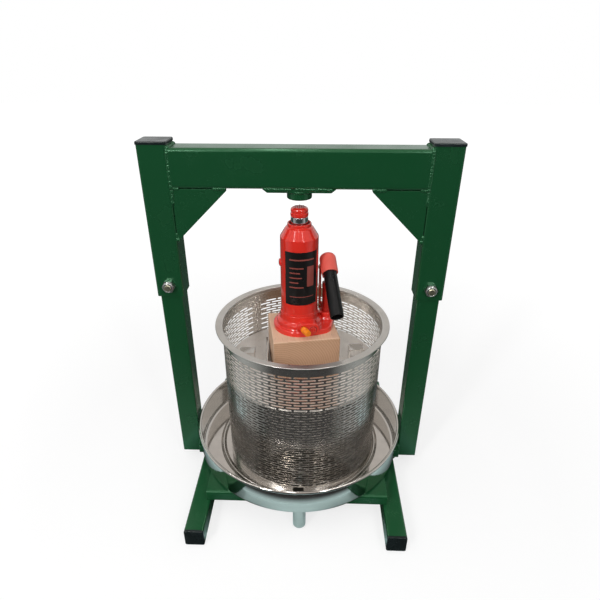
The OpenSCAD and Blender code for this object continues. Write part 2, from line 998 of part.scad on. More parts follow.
module tank_gland() {
    color(bright_steel)
        translate([0, 0, gland_bottom])
            difference() {
                cylinder(r = neck_bore_r - running_play, h = gland_top - gland_bottom);
                translate([0, 0, -overrun])
                    cylinder(r = cylinder_bore_r, h = gland_top - gland_bottom + 2 * overrun);
            }
}

module jack_label() {
    start = -90 - label_sweep / 2;
    color(black_paint)
        turned()
            translate([0, 0, collar_top + label_up])
                rotate([0, 0, start])
                    rotate_extrude(angle = label_sweep)
                        translate([tank_r + label_glue, 0])
                            square([label_sheet, label_height]);
}

module pump_cylinder() {
    bore_bottom = plunger_foot - pump_d / 4;
    color(red_paint)
        turned()
            translate([pump_x, pump_back, 0])
                difference() {
                    translate([0, 0, pump_pad_top])
                        cylinder(d = pump_d, h = pump_height);
                    translate([0, 0, bore_bottom])
                        cylinder(d = plunger_d + 2 * running_play, h = pump_top - bore_bottom + overrun);
                }
}

module link_plates() {
    color(red_paint)
        turned()
            for (sx = sides)
                translate([pump_x + sx * (link_inner + link_sheet / 2), 0, 0])
                    rotate([90, 0, 90])
                        linear_extrude(link_sheet, center = true)
                            difference() {
                                round_bar([link_y, link_low_z], [link_y, link_high_z], link_width);
                                for (z = [link_low_z, link_high_z])
                                    translate([link_y, z])
                                        circle(d = pin_d + 2 * thread_play);
                            }
}

module link_pins() {
    color(zinc)
        turned()
            for (z = [link_low_z, link_high_z])
                translate([pump_x, link_y, z])
                    cross_pin(pin_d, 2 * link_outer + pin_d / 2);
}

// Frame of the filler plug: the tank's middle, with +Z out through the plug
module at_filler() {
    turned()
        translate([0, 0, collar_top + filler_up])
            rotate([0, -90, 0])
                children();
}

module filler_plug() {
    stem = filler_hole_d - 2 * thread_play;
    color(red_paint)
        at_filler() {
            translate([0, 0, tank_r])
                cylinder(d1 = filler_d, d2 = filler_d - filler_out, h = filler_out);
            translate([0, 0, tank_r - 2 * tank_wall])
                cylinder(d = stem, h = 2 * tank_wall + filler_out / 2);
        }
}

module valve_plug() {
    proud_share = 0.12;
    color(red_paint)
        turned()
            translate([plug_apart, -boss_front, plug_z])
                rotate([90, 0, 0])
                    translate([0, 0, -plug_d / 2])
                        cylinder(d = plug_d, h = plug_d / 2 + proud_share * plug_d);
}

module jack_ram() {
    screw_bore = screw_d + 2 * running_play;
    color(bright_steel)
        difference() {
            translate([0, 0, ram_bottom])
                cylinder(r = ram_r, h = saddle_bottom - ram_bottom);
            translate([0, 0, saddle_bottom - screw_length - screw_d / 4])
                cylinder(d = screw_bore, h = screw_length + screw_d / 4 + overrun);
            translate([0, 0, ram_bottom + seal_height])
                difference() {
                    cylinder(r = ram_r + overrun, h = seal_height);
                    translate([0, 0, -overrun])
                        cylinder(r = ram_r - seal_depth, h = seal_height + 2 * overrun);
                }
        }
}

module ram_seal() {
    color(seal_rubber)
        translate([0, 0, ram_bottom + seal_height])
            difference() {
                cylinder(r = cylinder_bore_r - running_play / 2, h = seal_height);
                translate([0, 0, -overrun])
                    cylinder(r = ram_r - seal_depth, h = seal_height + 2 * overrun);
            }
}

// Saddle and screw, radius and height
module saddle_section() {
    round_share = 0.15;
    groove_shares = [0.38, 0.46, 0.54];
    groove_share = 0.1;
    saddle_r = saddle_d / 2;
    edge = round_share * saddle_height;
    groove_r = saddle_r - groove_share * saddle_r;
    polygon([
        [0, saddle_bottom],
        [saddle_r - edge / 2, saddle_bottom],
        [saddle_r, saddle_bottom + edge],
        [saddle_r, saddle_bottom + groove_shares[0] * saddle_height],
        [groove_r, saddle_bottom + groove_shares[1] * saddle_height],
        [saddle_r - edge / 4, saddle_bottom + groove_shares[2] * saddle_height],
        [saddle_r - edge / 4, saddle_top - edge],
        [saddle_r - edge, saddle_top],
        [0, saddle_top]
    ]);
}

module extension_screw() {
    color(red_paint) {
        rotate_extrude()
            saddle_section();
        translate([0, 0, saddle_bottom - screw_length])
            cylinder(d = screw_d, h = screw_length + saddle_height / 2);
    }
}

module pump_plunger() {
    color(bright_steel)
        turned()
            translate([pump_x, pump_back, 0])
                difference() {
                    union() {
                        translate([0, 0, plunger_foot])
                            cylinder(d = plunger_d, h = plunger_shoulder - plunger_foot);
                        translate([-eye_sheet / 2, -plunger_d / 2, plunger_shoulder - eye_sheet / 6])
                            cube([eye_sheet, plunger_d, plunger_pin_z - plunger_shoulder + eye_sheet / 6]);
                        translate([0, 0, plunger_pin_z])
                            cross_pin(2 * eye_r, eye_sheet);
                    }
                    for (sy = sides)
                        translate([0, sy * pin_slip, plunger_pin_z])
                            cross_pin(pin_d + 2 * slot_play, eye_sheet + 2 * overrun);
                    translate([-eye_sheet, -pin_slip, plunger_pin_z - pin_d / 2 - slot_play])
                        cube([2 * eye_sheet, 2 * pin_slip, pin_d + 2 * slot_play]);
                }
}

// Lug of the handle socket, along and above the plunger pin
module lug_outline() {
    lug_top = socket_up - socket_bore_d / 2 + lug_sheet / 3;
    difference() {
        union() {
            circle(lug_r);
            translate([pivot_u, pivot_v])
                circle(lug_r);
            polygon([
                [-lug_r, 0],
                [0, -lug_r],
                [pivot_u, pivot_v - lug_r],
                [pivot_u + lug_r, pivot_v],
                [pivot_u + lug_r, lug_top],
                [-lug_r, lug_top]
            ]);
        }
        circle(d = pin_d + 2 * thread_play);
        translate([pivot_u, pivot_v])
            circle(d = pin_d + 2 * running_play);
    }
}

// Outside of the socket with its round closed end, radius and length
module socket_section() {
    socket_r = socket_d / 2;
    square([socket_r, socket_length - socket_round]);
    square([socket_r - socket_round, socket_length]);
    translate([socket_r - socket_round, socket_length - socket_round])
        intersection() {
            circle(socket_round);
            square(socket_round);
        }
}

module handle_socket() {
    color(red_paint)
        at_socket()
            difference() {
                union() {
                    translate([0, -socket_front, socket_up])
                        rotate([-90, 0, 0])
                            rotate_extrude()
                                socket_section();
                    for (sx = sides)
                        translate([sx * (lug_inner + lug_sheet / 2), 0, 0])
                            rotate([90, 0, 90])
                                linear_extrude(lug_sheet, center = true)
                                    lug_outline();
                }
                translate([0, -socket_front - overrun, socket_up])
                    rotate([-90, 0, 0])
                        cylinder(d = socket_bore_d, h = handle_insert + 4 * handle_play + overrun);
            }
}

module plunger_pin() {
    color(zinc)
        at_socket()
            cross_pin(pin_d, 2 * lug_outer);
}

module handle_tube() {
    color(black_paint)
        at_socket()
            translate([0, handle_insert - socket_front, socket_up])
                rotate([90, 0, 0])
                    difference() {
                        cylinder(d = handle_d, h = handle_length);
                        translate([0, 0, -overrun])
                            cylinder(d = handle_d - 2 * handle_wall, h = handle_length + 2 * overrun);
                    }
}

module release_valve() {
    knob_start = knob_d / 4;
    color(orange_paint)
        at_valve() {
            translate([0, 0, -stem_length])
                cylinder(d = stem_d, h = stem_length + knob_start + knob_length / 2);
            translate([0, 0, knob_start])
                cylinder(d = knob_d, h = knob_length);
        }
}

left_foot();
right_foot();
foot_end_caps();
base_crossbar();
deck();
left_lower_post();
right_lower_post();
left_upper_post();
right_upper_post();
top_beam();
corner_gussets();
pad_plate();
saddle_ring();
post_top_caps();
post_bolts();
post_nuts();
tray_bowl();
tray_spout();
basket_wall();
basket_hem();
press_plate();
plate_rails();
plate_grips();
wood_block();
jack_base();
oil_tank();
pressure_cylinder();
tank_gland();
jack_label();
pump_cylinder();
link_plates();
link_pins();
filler_plug();
valve_plug();
jack_ram();
ram_seal();
extension_screw();
pump_plunger();
handle_socket();
plunger_pin();
handle_tube();
release_valve();
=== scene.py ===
"""Looks of a hydraulic fruit press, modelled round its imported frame."""
import json
import math
import random

import bmesh
import bpy
from mathutils import Matrix, Vector


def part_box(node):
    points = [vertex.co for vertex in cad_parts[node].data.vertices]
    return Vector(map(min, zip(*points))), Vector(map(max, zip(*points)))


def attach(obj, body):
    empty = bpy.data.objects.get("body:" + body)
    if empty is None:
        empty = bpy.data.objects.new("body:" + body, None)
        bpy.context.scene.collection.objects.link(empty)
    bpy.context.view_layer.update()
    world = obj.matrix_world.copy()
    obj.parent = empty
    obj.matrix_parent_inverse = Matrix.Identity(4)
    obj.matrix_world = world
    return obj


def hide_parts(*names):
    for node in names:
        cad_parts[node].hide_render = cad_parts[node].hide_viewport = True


bl_info = {
    "name": "Fruit Press",
    "version": (1, 0, 0),
    "blender": (4, 5, 0),
    "location": "3D View > Sidebar > Press",
    "description": "Models the yoke, tray, basket and bottle jack of a fruit press",
    "category": "Add Mesh",
}

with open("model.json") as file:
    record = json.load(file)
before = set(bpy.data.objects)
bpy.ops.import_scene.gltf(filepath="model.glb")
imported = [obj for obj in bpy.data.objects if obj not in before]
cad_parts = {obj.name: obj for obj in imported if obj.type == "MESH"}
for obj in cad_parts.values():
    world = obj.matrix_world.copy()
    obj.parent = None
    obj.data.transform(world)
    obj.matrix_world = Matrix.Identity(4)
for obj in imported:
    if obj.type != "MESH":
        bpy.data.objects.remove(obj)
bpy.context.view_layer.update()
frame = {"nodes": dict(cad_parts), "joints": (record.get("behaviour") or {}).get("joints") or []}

MM = 0.001
FULL_TURN = 2 * math.pi
SIDES = (-1, 1)

# Places are matrices
HOME = Matrix.Identity(4)
at = Matrix.Translation


# Places that the frame gives

def low(node):
    """Lowest corner of a CAD node."""
    return Vector(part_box(node)[0])


def high(node):
    """Highest corner of a CAD node."""
    return Vector(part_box(node)[1])


def middle(node):
    """Middle of a CAD node's box."""
    return (low(node) + high(node)) / 2


def extent(node):
    """Width, depth and height of a CAD node's box."""
    return high(node) - low(node)


def box_ends(node):
    """Lowest and highest corner of a CAD node."""
    return low(node), high(node)


def heights(node):
    """Lowest and highest Z of a CAD node."""
    return low(node).z, high(node).z


def radius_of(node):
    """Radius of a round CAD node."""
    return extent(node).x / 2


def joint(name):
    """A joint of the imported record."""
    for entry in frame["joints"]:
        if entry["name"] == name:
            return entry
    raise KeyError(name)


# The press head is turned about the middle of the press
SWING_AXIS = Vector(joint("handle_swing")["axis"])
HEAD_TURN = math.atan2(-SWING_AXIS.y, -SWING_AXIS.x)
HEAD = Matrix.Rotation(HEAD_TURN, 4, "Z")
LINK_PIN = HEAD.inverted() @ Vector(joint("handle_swing")["pos_m"])
VALVE = HEAD.inverted() @ Vector(joint("release_turn")["pos_m"])
VALVE_AXIS = HEAD.inverted() @ Vector(joint("release_turn")["axis"])
HANDLE_AXIS = HEAD.inverted() @ Vector(joint("handle_pull")["axis"])
PUMP = HEAD.inverted() @ middle("pump_cylinder")
PLUNGER_PIN = HEAD.inverted() @ middle("plunger_pin")

# Basket, plate and block share an upright axis beside the jack's
LOAD = at((middle("basket_wall").x, middle("basket_wall").y, 0))


# Sizes and colours that a user would change

def length(name, description, value, top=0.1):
    """A size in metres for the sidebar."""
    return bpy.props.FloatProperty(
        name=name, description=description, default=value,
        min=0.0, max=top, precision=4, unit="LENGTH")


def angle(name, description, degrees):
    """An angle for the sidebar."""
    return bpy.props.FloatProperty(
        name=name, description=description, default=math.radians(degrees), unit="ROTATION")


def colour(name, description, value):
    """A paint or metal colour for the sidebar."""
    return bpy.props.FloatVectorProperty(
        name=name, description=description, default=value,
        size=3, min=0.0, max=1.0, subtype="COLOR")


class PressSizes(bpy.types.PropertyGroup):
    """Sizes of the details that the frame doesn't give."""

    foot_corner: length("Foot corner", "Outside corner radius of the feet", 3 * MM)
    post_corner: length("Post corner", "Outside corner radius of the upper posts", 3.5 * MM)
    inner_corner: length("Inner corner", "Outside corner radius of the lower posts", 2.2 * MM)
    beam_corner: length("Beam corner", "Outside corner radius of the beam", 5 * MM)
    thin_wall: length("Thin wall", "Wall of feet and lower posts", 2 * MM)
    thick_wall: length("Thick wall", "Wall of upper posts and beam", 3 * MM)
    cap_round: length("Cap rounding", "Rounded edge of the plastic caps", 1.4 * MM)
    cap_lip: length("Cap lip", "How far the post caps stand out", 0.8 * MM)
    sheet_edge: length("Sheet edge", "Broken edge of plates and bars", 0.7 * MM)
    weld_radius: length("Weld radius", "Half width of a weld bead", 2.9 * MM)
    weld_pitch: length("Weld pitch", "Distance between two weld ripples", 1.3 * MM)
    weld_gap: length("Weld gap", "Open joint between the tacks of a gusset", 0.6 * MM)
    slot_length: length("Slot length", "Length of a slot in the basket", 20.2 * MM)
    slot_height: length("Slot height", "Height of a slot in the basket", 2.7 * MM)
    slot_pitch: length("Slot pitch", "Height of a row of slots", 4.85 * MM)
    slot_apart: length("Slot distance", "Sheet between two slots of a row", 2.6 * MM)
    slot_band: length("Plain band", "Plain band above the slots", 14.6 * MM)
    slot_foot: length("Plain foot", "Plain band below the slots", 8 * MM)
    notch_height: length("Notch height", "Height of the drain notch in the basket", 6 * MM)
    seam_width: length("Seam width", "Plain strip at the basket's seam", 15 * MM)
    rail_skew: angle("Rail skew", "Turn of the plate's rails against the block", -5)
    block_round: length("Block rounding", "Rounded edge of the wooden block", 2.2 * MM)
    handle_wall: length("Handle wall", "Wall of the handle tube", 1.5 * MM)


class PressFinishes(bpy.types.PropertyGroup):
    """Colours of the press."""

    frame_green: colour("Frame green", "Paint of feet, posts and beam", (0.0075, 0.068, 0.023))
    jack_red: colour("Jack red", "Paint of the jack", (0.80, 0.030, 0.018))
    knob_orange: colour("Knob orange", "Paint of the release knob", (1.0, 0.27, 0.010))
    handle_black: colour("Handle black", "Paint of the handle", (0.006, 0.006, 0.0065))
    cap_black: colour("Cap black", "Plastic of the caps", (0.008, 0.0135, 0.014))
    label_black: colour("Label black", "Ground of the label", (0.009, 0.008, 0.008))
    label_red: colour("Label red", "Blocks on the label", (0.32, 0.075, 0.06))
    stainless: colour("Stainless", "Tray and basket", (0.65, 0.625, 0.59))
    plate: colour("Plate", "Press plate", (0.97, 0.915, 0.86))
    zinc: colour("Zinc", "Bolts and pins", (0.60, 0.58, 0.42))
    nut_steel: colour("Nut steel", "Locking nuts", (0.62, 0.62, 0.61))
    bright_steel: colour("Bright steel", "Ram and plunger", (0.72, 0.72, 0.73))
    beech_pale: colour("Pale beech", "Early wood of the block", (0.80, 0.55, 0.38))
    beech_dark: colour("Dark beech", "Late wood of the block", (0.62, 0.38, 0.235))


class PressView(bpy.types.PropertyGroup):
    """Camera and light."""

    camera_x: length("Camera X", "Camera to the right of the press", 0.0206, 2)
    camera_back: length("Camera back", "Camera in front of the press", 0.6762, 2)
    camera_up: length("Camera up", "Camera above the ground", 0.6734, 2)
    camera_pitch: angle("Camera pitch", "Camera's angle below the horizon", 28.9)
    camera_yaw: angle("Camera yaw", "Camera's turn to the left", 2.0)
    lens: bpy.props.FloatProperty(
        name="Lens", description="Focal length in millimetres on a 36 mm frame", default=29.46)
    shift: bpy.props.FloatVectorProperty(
        name="Shift", description="Shift of the frame", size=2, default=(0.0045, 0.0238))
    room_light: bpy.props.FloatProperty(
        name="Room light", description="Even light of the room", default=0.35)
    wall_reflection: colour(
        "Wall reflection", "What the metal shows of the walls", (0.78, 0.80, 0.80))
    ceiling_reflection: colour(
        "Ceiling reflection", "What the metal shows of the ceiling", (0.60, 0.55, 0.51))
    floor_reflection: colour(
        "Floor reflection", "What the metal shows of the floor", (0.63, 0.86, 0.88))


def sizes():
    return bpy.context.scene.press_sizes


def finishes():
    return bpy.context.scene.press_finishes


def view():
    return bpy.context.scene.press_view


# Outlines

def rounded_path(corners, closed=True, steps=6):
    """Points of an outline whose corners (x, y, radius) are rounded by arcs."""
    points = []
    count = len(corners)
    for index, (x, y, radius) in enumerate(corners):
        corner = Vector((x, y))
        inner = closed or 0 < index < count - 1
        if not inner or radius <= 0:
            points.append(corner)
            continue
        before = Vector(corners[index - 1][:2]) - corner
        after = Vector(corners[(index + 1) % count][:2]) - corner
        half = before.angle(after) / 2
        before.normalize()
        after.normalize()
        reach = radius / math.tan(half)
        start, end = corner + before * reach, corner + after * reach
        centre = corner + (before + after).normalized() * (radius / math.sin(half))
        spoke = start - centre
        sweep = spoke.angle_signed(end - centre)
        for step in range(steps + 1):
            points.append(centre + Matrix.Rotation(-sweep * step / steps, 2) @ spoke)
    return points


def rounded_box(left, bottom, right, top, radius, steps=6):
    """A rectangle with round corners."""
    return rounded_path([(left, bottom, radius), (right, bottom, radius),
                         (right, top, radius), (left, top, radius)], steps=steps)


def rounded_rectangle(width, height, radius):
    """A rectangle about the middle with round corners."""
    return rounded_box(-width / 2, -height / 2, width / 2, height / 2, radius)


def circle_path(centre, radius, steps):
    """A closed circle."""
    turns = [FULL_TURN * step / steps for step in range(steps)]
    return [Vector(centre) + radius * Vector((math.cos(turn), math.sin(turn))) for turn in turns]


def round_hull(circles, steps=96):
    """Outline drawn tight round circles, each a centre and a radius."""
    points = sorted(tuple(point) for centre, radius in circles
                    for point in circle_path(centre, radius, steps))
    hull = []
    for run in (points, points[::-1]):
        chain = []
        for point in run:
            while len(chain) > 1:
                edge = Vector(chain[-1]) - Vector(chain[-2])
                if edge.cross(Vector(point) - Vector(chain[-1])) > 0:
                    break
                chain.pop()
            chain.append(point)
        hull += chain[:-1]
    return [Vector(point) for point in hull]


def thread_path(crest, root, start, end, pitch):
    """Crests and roots of a screw thread, from a height to just past another."""
    points = []
    z = start
    step = math.copysign(pitch / 2, end - start)
    while (end - z) * step > 0:
        for radius in (crest, root):
            z += step
            points.append((radius, z))
    return points


# Solids: each function gives a bmesh of its own

def loop_edges(solid, points, closed=True):
    """Vertices and edges of an outline in the XY plane."""
    verts = [solid.verts.new((x, y, 0)) for x, y in points]
    pairs = list(zip(verts, verts[1:]))
    if closed:
        pairs.append((verts[-1], verts[0]))
    return verts, [solid.edges.new(pair) for pair in pairs]


def lathe(path, closed, steps, sweep=FULL_TURN):
    """A path of (radius, height) turned about Z."""
    solid = bmesh.new()
    verts, edges = loop_edges(solid, path, closed)
    for vert in verts:
        vert.co = (vert.co.x, 0, vert.co.y)
    bmesh.ops.spin(solid, geom=verts + edges, cent=(0, 0, 0), axis=(0, 0, 1),
                   angle=sweep, steps=steps, use_merge=sweep >= FULL_TURN)
    bmesh.ops.remove_doubles(solid, verts=solid.verts, dist=1e-6)
    bmesh.ops.dissolve_degenerate(solid, edges=solid.edges, dist=1e-7)
    return solid


def turned(corners, steps, arc=6):
    """A solid turned about Z from corners (radius, height, rounding), the ends on the axis."""
    return lathe(rounded_path(corners, closed=False, steps=arc), False, steps)


def rod(radius, bottom, top, low_edge, high_edge, steps):
    """A round rod or disc along Z with rounded edges."""
    return turned([(0, bottom, 0), (radius, bottom, low_edge),
                   (radius, top, high_edge), (0, top, 0)], steps)


def ring(corners, steps, arc=6):
    """A ring about Z from the corners (radius, height, rounding) of its section."""
    return lathe(rounded_path(corners, steps=arc), True, steps)


def band(inner, outer, bottom, top, steps, sweep=FULL_TURN):
    """A plain ring about Z, or a part of one."""
    section = [(inner, bottom), (outer, bottom), (outer, top), (inner, top)]
    return lathe(section, True, steps, sweep)


def flat_face(outline, hole=None):
    """An outline in XY, filled apart from a hole in it."""
    solid = bmesh.new()
    _, edges = loop_edges(solid, outline)
    if hole:
        edges += loop_edges(solid, hole)[1]
        bmesh.ops.triangle_fill(solid, edges=edges, use_beauty=True)
    else:
        bmesh.ops.contextual_create(solid, geom=edges)
    return solid


def draw_up(solid, height):
    """Draws the flat faces of a bmesh up along Z."""
    made = bmesh.ops.extrude_face_region(solid, geom=list(solid.faces))
    moved = [item for item in made["geom"] if isinstance(item, bmesh.types.BMVert)]
    bmesh.ops.translate(solid, verts=moved, vec=(0, 0, height))


def prism(outline, height, hole=None):
    """An outline in XY, drawn up along Z, with its base on the ground."""
    solid = flat_face(outline, hole)
    draw_up(solid, height)
    bmesh.ops.recalc_face_normals(solid, faces=solid.faces)
    return solid


def bevel(solid, edges, width, segments, clamp=False):
    """Rounds edges of a solid."""
    bmesh.ops.bevel(solid, geom=edges, offset=width, offset_type="OFFSET", segments=segments,
                    profile=0.5, affect="EDGES", material=-1, clamp_overlap=clamp)
    return solid


def break_edges(solid, width, segments=2, least=0.6):
    """Bevels the edges of a solid whose faces turn by more than an angle."""
    solid.normal_update()
    sharp = [edge for edge in solid.edges if edge.is_manifold and edge.calc_face_angle(0) > least]
    return bevel(solid, sharp, width, segments, clamp=True)


def round_top(solid, height, width):
    """Rounds the upper rim of a prism."""
    rim = [edge for edge in solid.edges if min(vert.co.z for vert in edge.verts) > height * 0.9]
    return bevel(solid, rim, width, 4)


def block(size, edge, segments=3):
    """A box about the middle with rounded edges."""
    solid = bmesh.new()
    made = bmesh.ops.create_cube(solid, size=1)
    bmesh.ops.scale(solid, vec=size, verts=made["verts"])
    return break_edges(solid, edge, segments)


def cone(base_r, top_r, height, segments):
    """A cone or cylinder along Z about the middle."""
    solid = bmesh.new()
    bmesh.ops.create_cone(solid, cap_ends=True, segments=segments,
                          radius1=base_r, radius2=top_r, depth=height)
    return solid


def ball(radius, detail):
    """A ball of triangles."""
    solid = bmesh.new()
    bmesh.ops.create_icosphere(solid, subdivisions=detail, radius=radius)
    return solid


def square_tube(width, depth, span, wall, corner):
    """A hollow square tube along Z about the middle."""
    inner = max(corner - wall, wall / 3)
    solid = bmesh.new()
    _, edges = loop_edges(solid, rounded_rectangle(width, depth, corner))
    edges += loop_edges(solid, rounded_rectangle(width - 2 * wall, depth - 2 * wall, inner))[1]
    bmesh.ops.bridge_loops(solid, edges=edges)
    draw_up(solid, span)
    bmesh.ops.translate(solid, verts=solid.verts, vec=(0, 0, -span / 2))
    bmesh.ops.recalc_face_normals(solid, faces=solid.faces)
    return solid


def hexagon(across, height):
    """A hexagon head with its top corners turned off, its base on the ground."""
    solid = prism(circle_path((0, 0), across / math.sqrt(3), 6), height)
    rim = [edge for edge in solid.edges if abs(edge.verts[0].co.z - edge.verts[1].co.z) < 1e-7]
    bmesh.ops.subdivide_edges(solid, edges=rim, cuts=5)
    face_r, slope = across / 2 * 0.985, math.tan(math.radians(30))
    for vert in solid.verts:
        if vert.co.z > height / 2:
            vert.co.z -= max(vert.co.to_2d().length - face_r, 0) * slope
    return solid


def along(direction):
    """Turns Z to a direction."""
    return Vector(direction).to_track_quat("Z", "Y").to_matrix().to_4x4()


# A tube's own Z goes along the named axis of the press
AXIS_TURNS = {
    "X": Matrix(((0, 0, 1, 0), (1, 0, 0, 0), (0, 1, 0, 0), (0, 0, 0, 1))),
    "Y": Matrix(((1, 0, 0, 0), (0, 0, -1, 0), (0, 1, 0, 0), (0, 0, 0, 1))),
    "Z": HOME,
}


# Objects

def mesh_of(solid, name):
    """A mesh from a bmesh, which is freed."""
    mesh = bpy.data.meshes.new(name)
    solid.to_mesh(mesh)
    solid.free()
    return mesh


def show(name, data):
    """A new object in the scene."""
    made = bpy.data.objects.new(name, data)
    bpy.context.scene.collection.objects.link(made)
    return made


def face_outward(solid):
    """Turns the faces of a closed solid outward."""
    bmesh.ops.recalc_face_normals(solid, faces=solid.faces)
    if solid.calc_volume(signed=True) < 0:
        bmesh.ops.reverse_faces(solid, faces=solid.faces)


class Piece:
    """Gathers solids into one object."""

    def __init__(self, name, *materials):
        self.name = name
        self.materials = materials
        self.bm = bmesh.new()

    def add(self, solid, place=HOME, material=0):
        """Takes a solid in at a place, with its faces turned outward."""
        bmesh.ops.transform(solid, matrix=place, verts=solid.verts)
        face_outward(solid)
        for face in solid.faces:
            face.material_index = material
        mesh = mesh_of(solid, "solid")
        self.bm.from_mesh(mesh)
        bpy.data.meshes.remove(mesh)

    def second_material(self, test):
        """Gives the second material to the faces whose normal passes a test."""
        self.bm.normal_update()
        for face in self.bm.faces:
            face.material_index = int(test(face.normal))

    def finish(self, body, slot, *nodes, smooth=40, even=True):
        """Makes the object, gives it its body and hides the CAD nodes that it stands for; its slot
        is not used.
        """
        mesh = mesh_of(self.bm, self.name)
        for material in self.materials:
            mesh.materials.append(material)
        mesh.shade_smooth()
        mesh.set_sharp_from_angle(angle=math.radians(smooth))
        piece = show(self.name, mesh)
        if even:
            piece.modifiers.new("even_normals", "WEIGHTED_NORMAL").keep_sharp = True
        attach(piece, body)
        if nodes:
            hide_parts(*nodes)
        return piece


def single(name, material, solid, body, slot, node, place=HOME, **shading):
    """A piece of one solid, which stands for one CAD node."""
    piece = Piece(name, material)
    piece.add(solid, place)
    piece.finish(body, slot, node, **shading)


def cut_away(solid, tool):
    """A solid without what a tool takes out; each has to be one closed shell."""
    parts = []
    for shell in (solid, tool):
        face_outward(shell)
        parts.append(show("cut", mesh_of(shell, "cut")))
    cut = parts[0].modifiers.new("cut", "BOOLEAN")
    cut.operation = "DIFFERENCE"
    cut.solver = "EXACT"
    cut.object = parts[1]
    with bpy.context.temp_override(object=parts[0], active_object=parts[0]):
        bpy.ops.object.modifier_apply(modifier=cut.name)
    rest = bmesh.new()
    rest.from_mesh(parts[0].data)
    for part in parts:
        bpy.data.meshes.remove(part.data)
    return rest


# Shader nodes

def feed(tree, node, inputs):
    """Links or sets inputs by name or number; each is a socket, a number or a colour."""
    for key, value in inputs.items():
        socket = node.inputs[key]
        if isinstance(value, bpy.types.NodeSocket):
            tree.links.new(value, socket)
        elif socket.type == "RGBA":
            socket.default_value = (*value[:3], 1)
        else:
            socket.default_value = value


def add_node(tree, kind, inputs=None, **settings):
    """A shader node with its settings and inputs."""
    made = tree.nodes.new("ShaderNode" + kind)
    for key, value in settings.items():
        setattr(made, key, value)
    feed(tree, made, inputs or {})
    return made


def noise(tree, vector, scale, detail=3, roughness=0.5):
    """Noise on a vector."""
    return add_node(tree, "TexNoise", {
        "Vector": vector, "Scale": scale, "Detail": detail, "Roughness": roughness}).outputs["Fac"]


def spread(tree, value, from_low, from_high, to_low, to_high):
    """A value moved from one range to another and kept in it."""
    return add_node(tree, "MapRange", {
        "Value": value, "From Min": from_low, "From Max": from_high,
        "To Min": to_low, "To Max": to_high}, clamp=True).outputs["Result"]


def blend(tree, factor, first, second, mode="MIX"):
    """Two colours mixed by a factor."""
    return add_node(tree, "Mix", {0: factor, 6: first, 7: second},
                    data_type="RGBA", blend_type=mode).outputs[2]


def combine(tree, first, second, operation="ADD"):
    """Two values put together."""
    return add_node(tree, "Math", {0: first, 1: second}, operation=operation).outputs[0]


def mapped(tree, place, scale=(1, 1, 1), turn=(0, 0, 0), shift=(0, 0, 0)):
    """Object coordinates moved, turned and stretched."""
    return add_node(tree, "Mapping", {
        "Vector": place, "Scale": scale, "Rotation": turn, "Location": shift}).outputs["Vector"]


def distance(tree, place):
    """How far a place is from the origin."""
    return add_node(tree, "VectorMath", {0: place}, operation="LENGTH").outputs["Value"]


def raise_surface(tree, shader, height, depth, strength):
    """Bump from a height times a depth in metres."""
    bump = add_node(tree, "Bump", {"Height": height, "Distance": depth, "Strength": strength})
    feed(tree, shader, {"Normal": bump.outputs["Normal"]})


def once(kind):
    """Lets a function make the shader group or material of a name only once."""
    def wrap(make):
        def given(name, *values, **settings):
            return getattr(bpy.data, kind).get(name) or make(name, *values, **settings)
        return given
    return wrap


# Shader groups

def make_group(name, inputs):
    """An empty surface group: its tree, its inputs (name, type, default) and its output node."""
    group = bpy.data.node_groups.new(name, "ShaderNodeTree")
    for socket, kind, value in inputs:
        made = group.interface.new_socket(name=socket, in_out="INPUT",
                                          socket_type="NodeSocket" + kind)
        if value is not None:
            made.default_value = value
    for socket, kind in (("Color", "Color"), ("Roughness", "Float"), ("Height", "Float")):
        group.interface.new_socket(name=socket, in_out="OUTPUT", socket_type="NodeSocket" + kind)
    return group, group.nodes.new("NodeGroupInput").outputs, group.nodes.new("NodeGroupOutput")


@once("node_groups")
def paint_group(name):
    """Sprayed paint: orange peel, cloudy tone and fine dust."""
    group, source, sink = make_group(name, [
        ("Vector", "Vector", None), ("Paint", "Color", (0.1, 0.1, 0.1, 1)),
        ("Cloud", "Float", 0.25), ("Gloss", "Float", 0.25)])
    cloud = noise(group, source["Vector"], scale=22, detail=4)
    peel = noise(group, source["Vector"], scale=420, detail=2)
    ripple = noise(group, source["Vector"], scale=60, detail=2)
    speck = noise(group, source["Vector"], scale=900, detail=1)
    shade = blend(group, 1.0, source["Paint"], (0.62, 0.62, 0.62), "MULTIPLY")
    tone = combine(group, spread(group, cloud, 0.35, 0.65, 0, 1), source["Cloud"], "MULTIPLY")
    base = blend(group, tone, source["Paint"], shade)
    dust = spread(group, speck, 0.66, 0.74, 0, 0.012)
    rough = combine(group, spread(group, cloud, 0.3, 0.7, -0.05, 0.07), source["Gloss"])
    feed(group, sink, {
        "Color": blend(group, dust, base, (0.35, 0.36, 0.34)),
        "Roughness": combine(group, rough, spread(group, speck, 0.6, 0.75, 0, 0.04)),
        "Height": combine(group, combine(group, peel, 0.35, "MULTIPLY"), ripple)})
    return group


@once("node_groups")
def rolled_group(name):
    """Rolled sheet metal: fine lines and soft stains."""
    group, source, sink = make_group(name, [
        ("Vector", "Vector", None), ("Lines", "Vector", None),
        ("Metal", "Color", (0.6, 0.6, 0.6, 1)), ("Polish", "Float", 0.2)])
    fine = noise(group, source["Lines"], scale=1, detail=4, roughness=0.6)
    stain = noise(group, source["Vector"], scale=18, detail=4)
    dark = blend(group, 1.0, source["Metal"], (0.86, 0.86, 0.87), "MULTIPLY")
    lined = blend(group, spread(group, fine, 0.3, 0.7, 0, 0.7), source["Metal"], dark)
    rough = combine(group, spread(group, fine, 0.3, 0.7, 0.75, 1.3), source["Polish"], "MULTIPLY")
    feed(group, sink, {
        "Color": blend(group, spread(group, stain, 0.5, 0.75, 0, 0.35), lined, dark),
        "Roughness": combine(group, rough, spread(group, stain, 0.4, 0.75, 0.9, 1.35), "MULTIPLY"),
        "Height": fine})
    return group


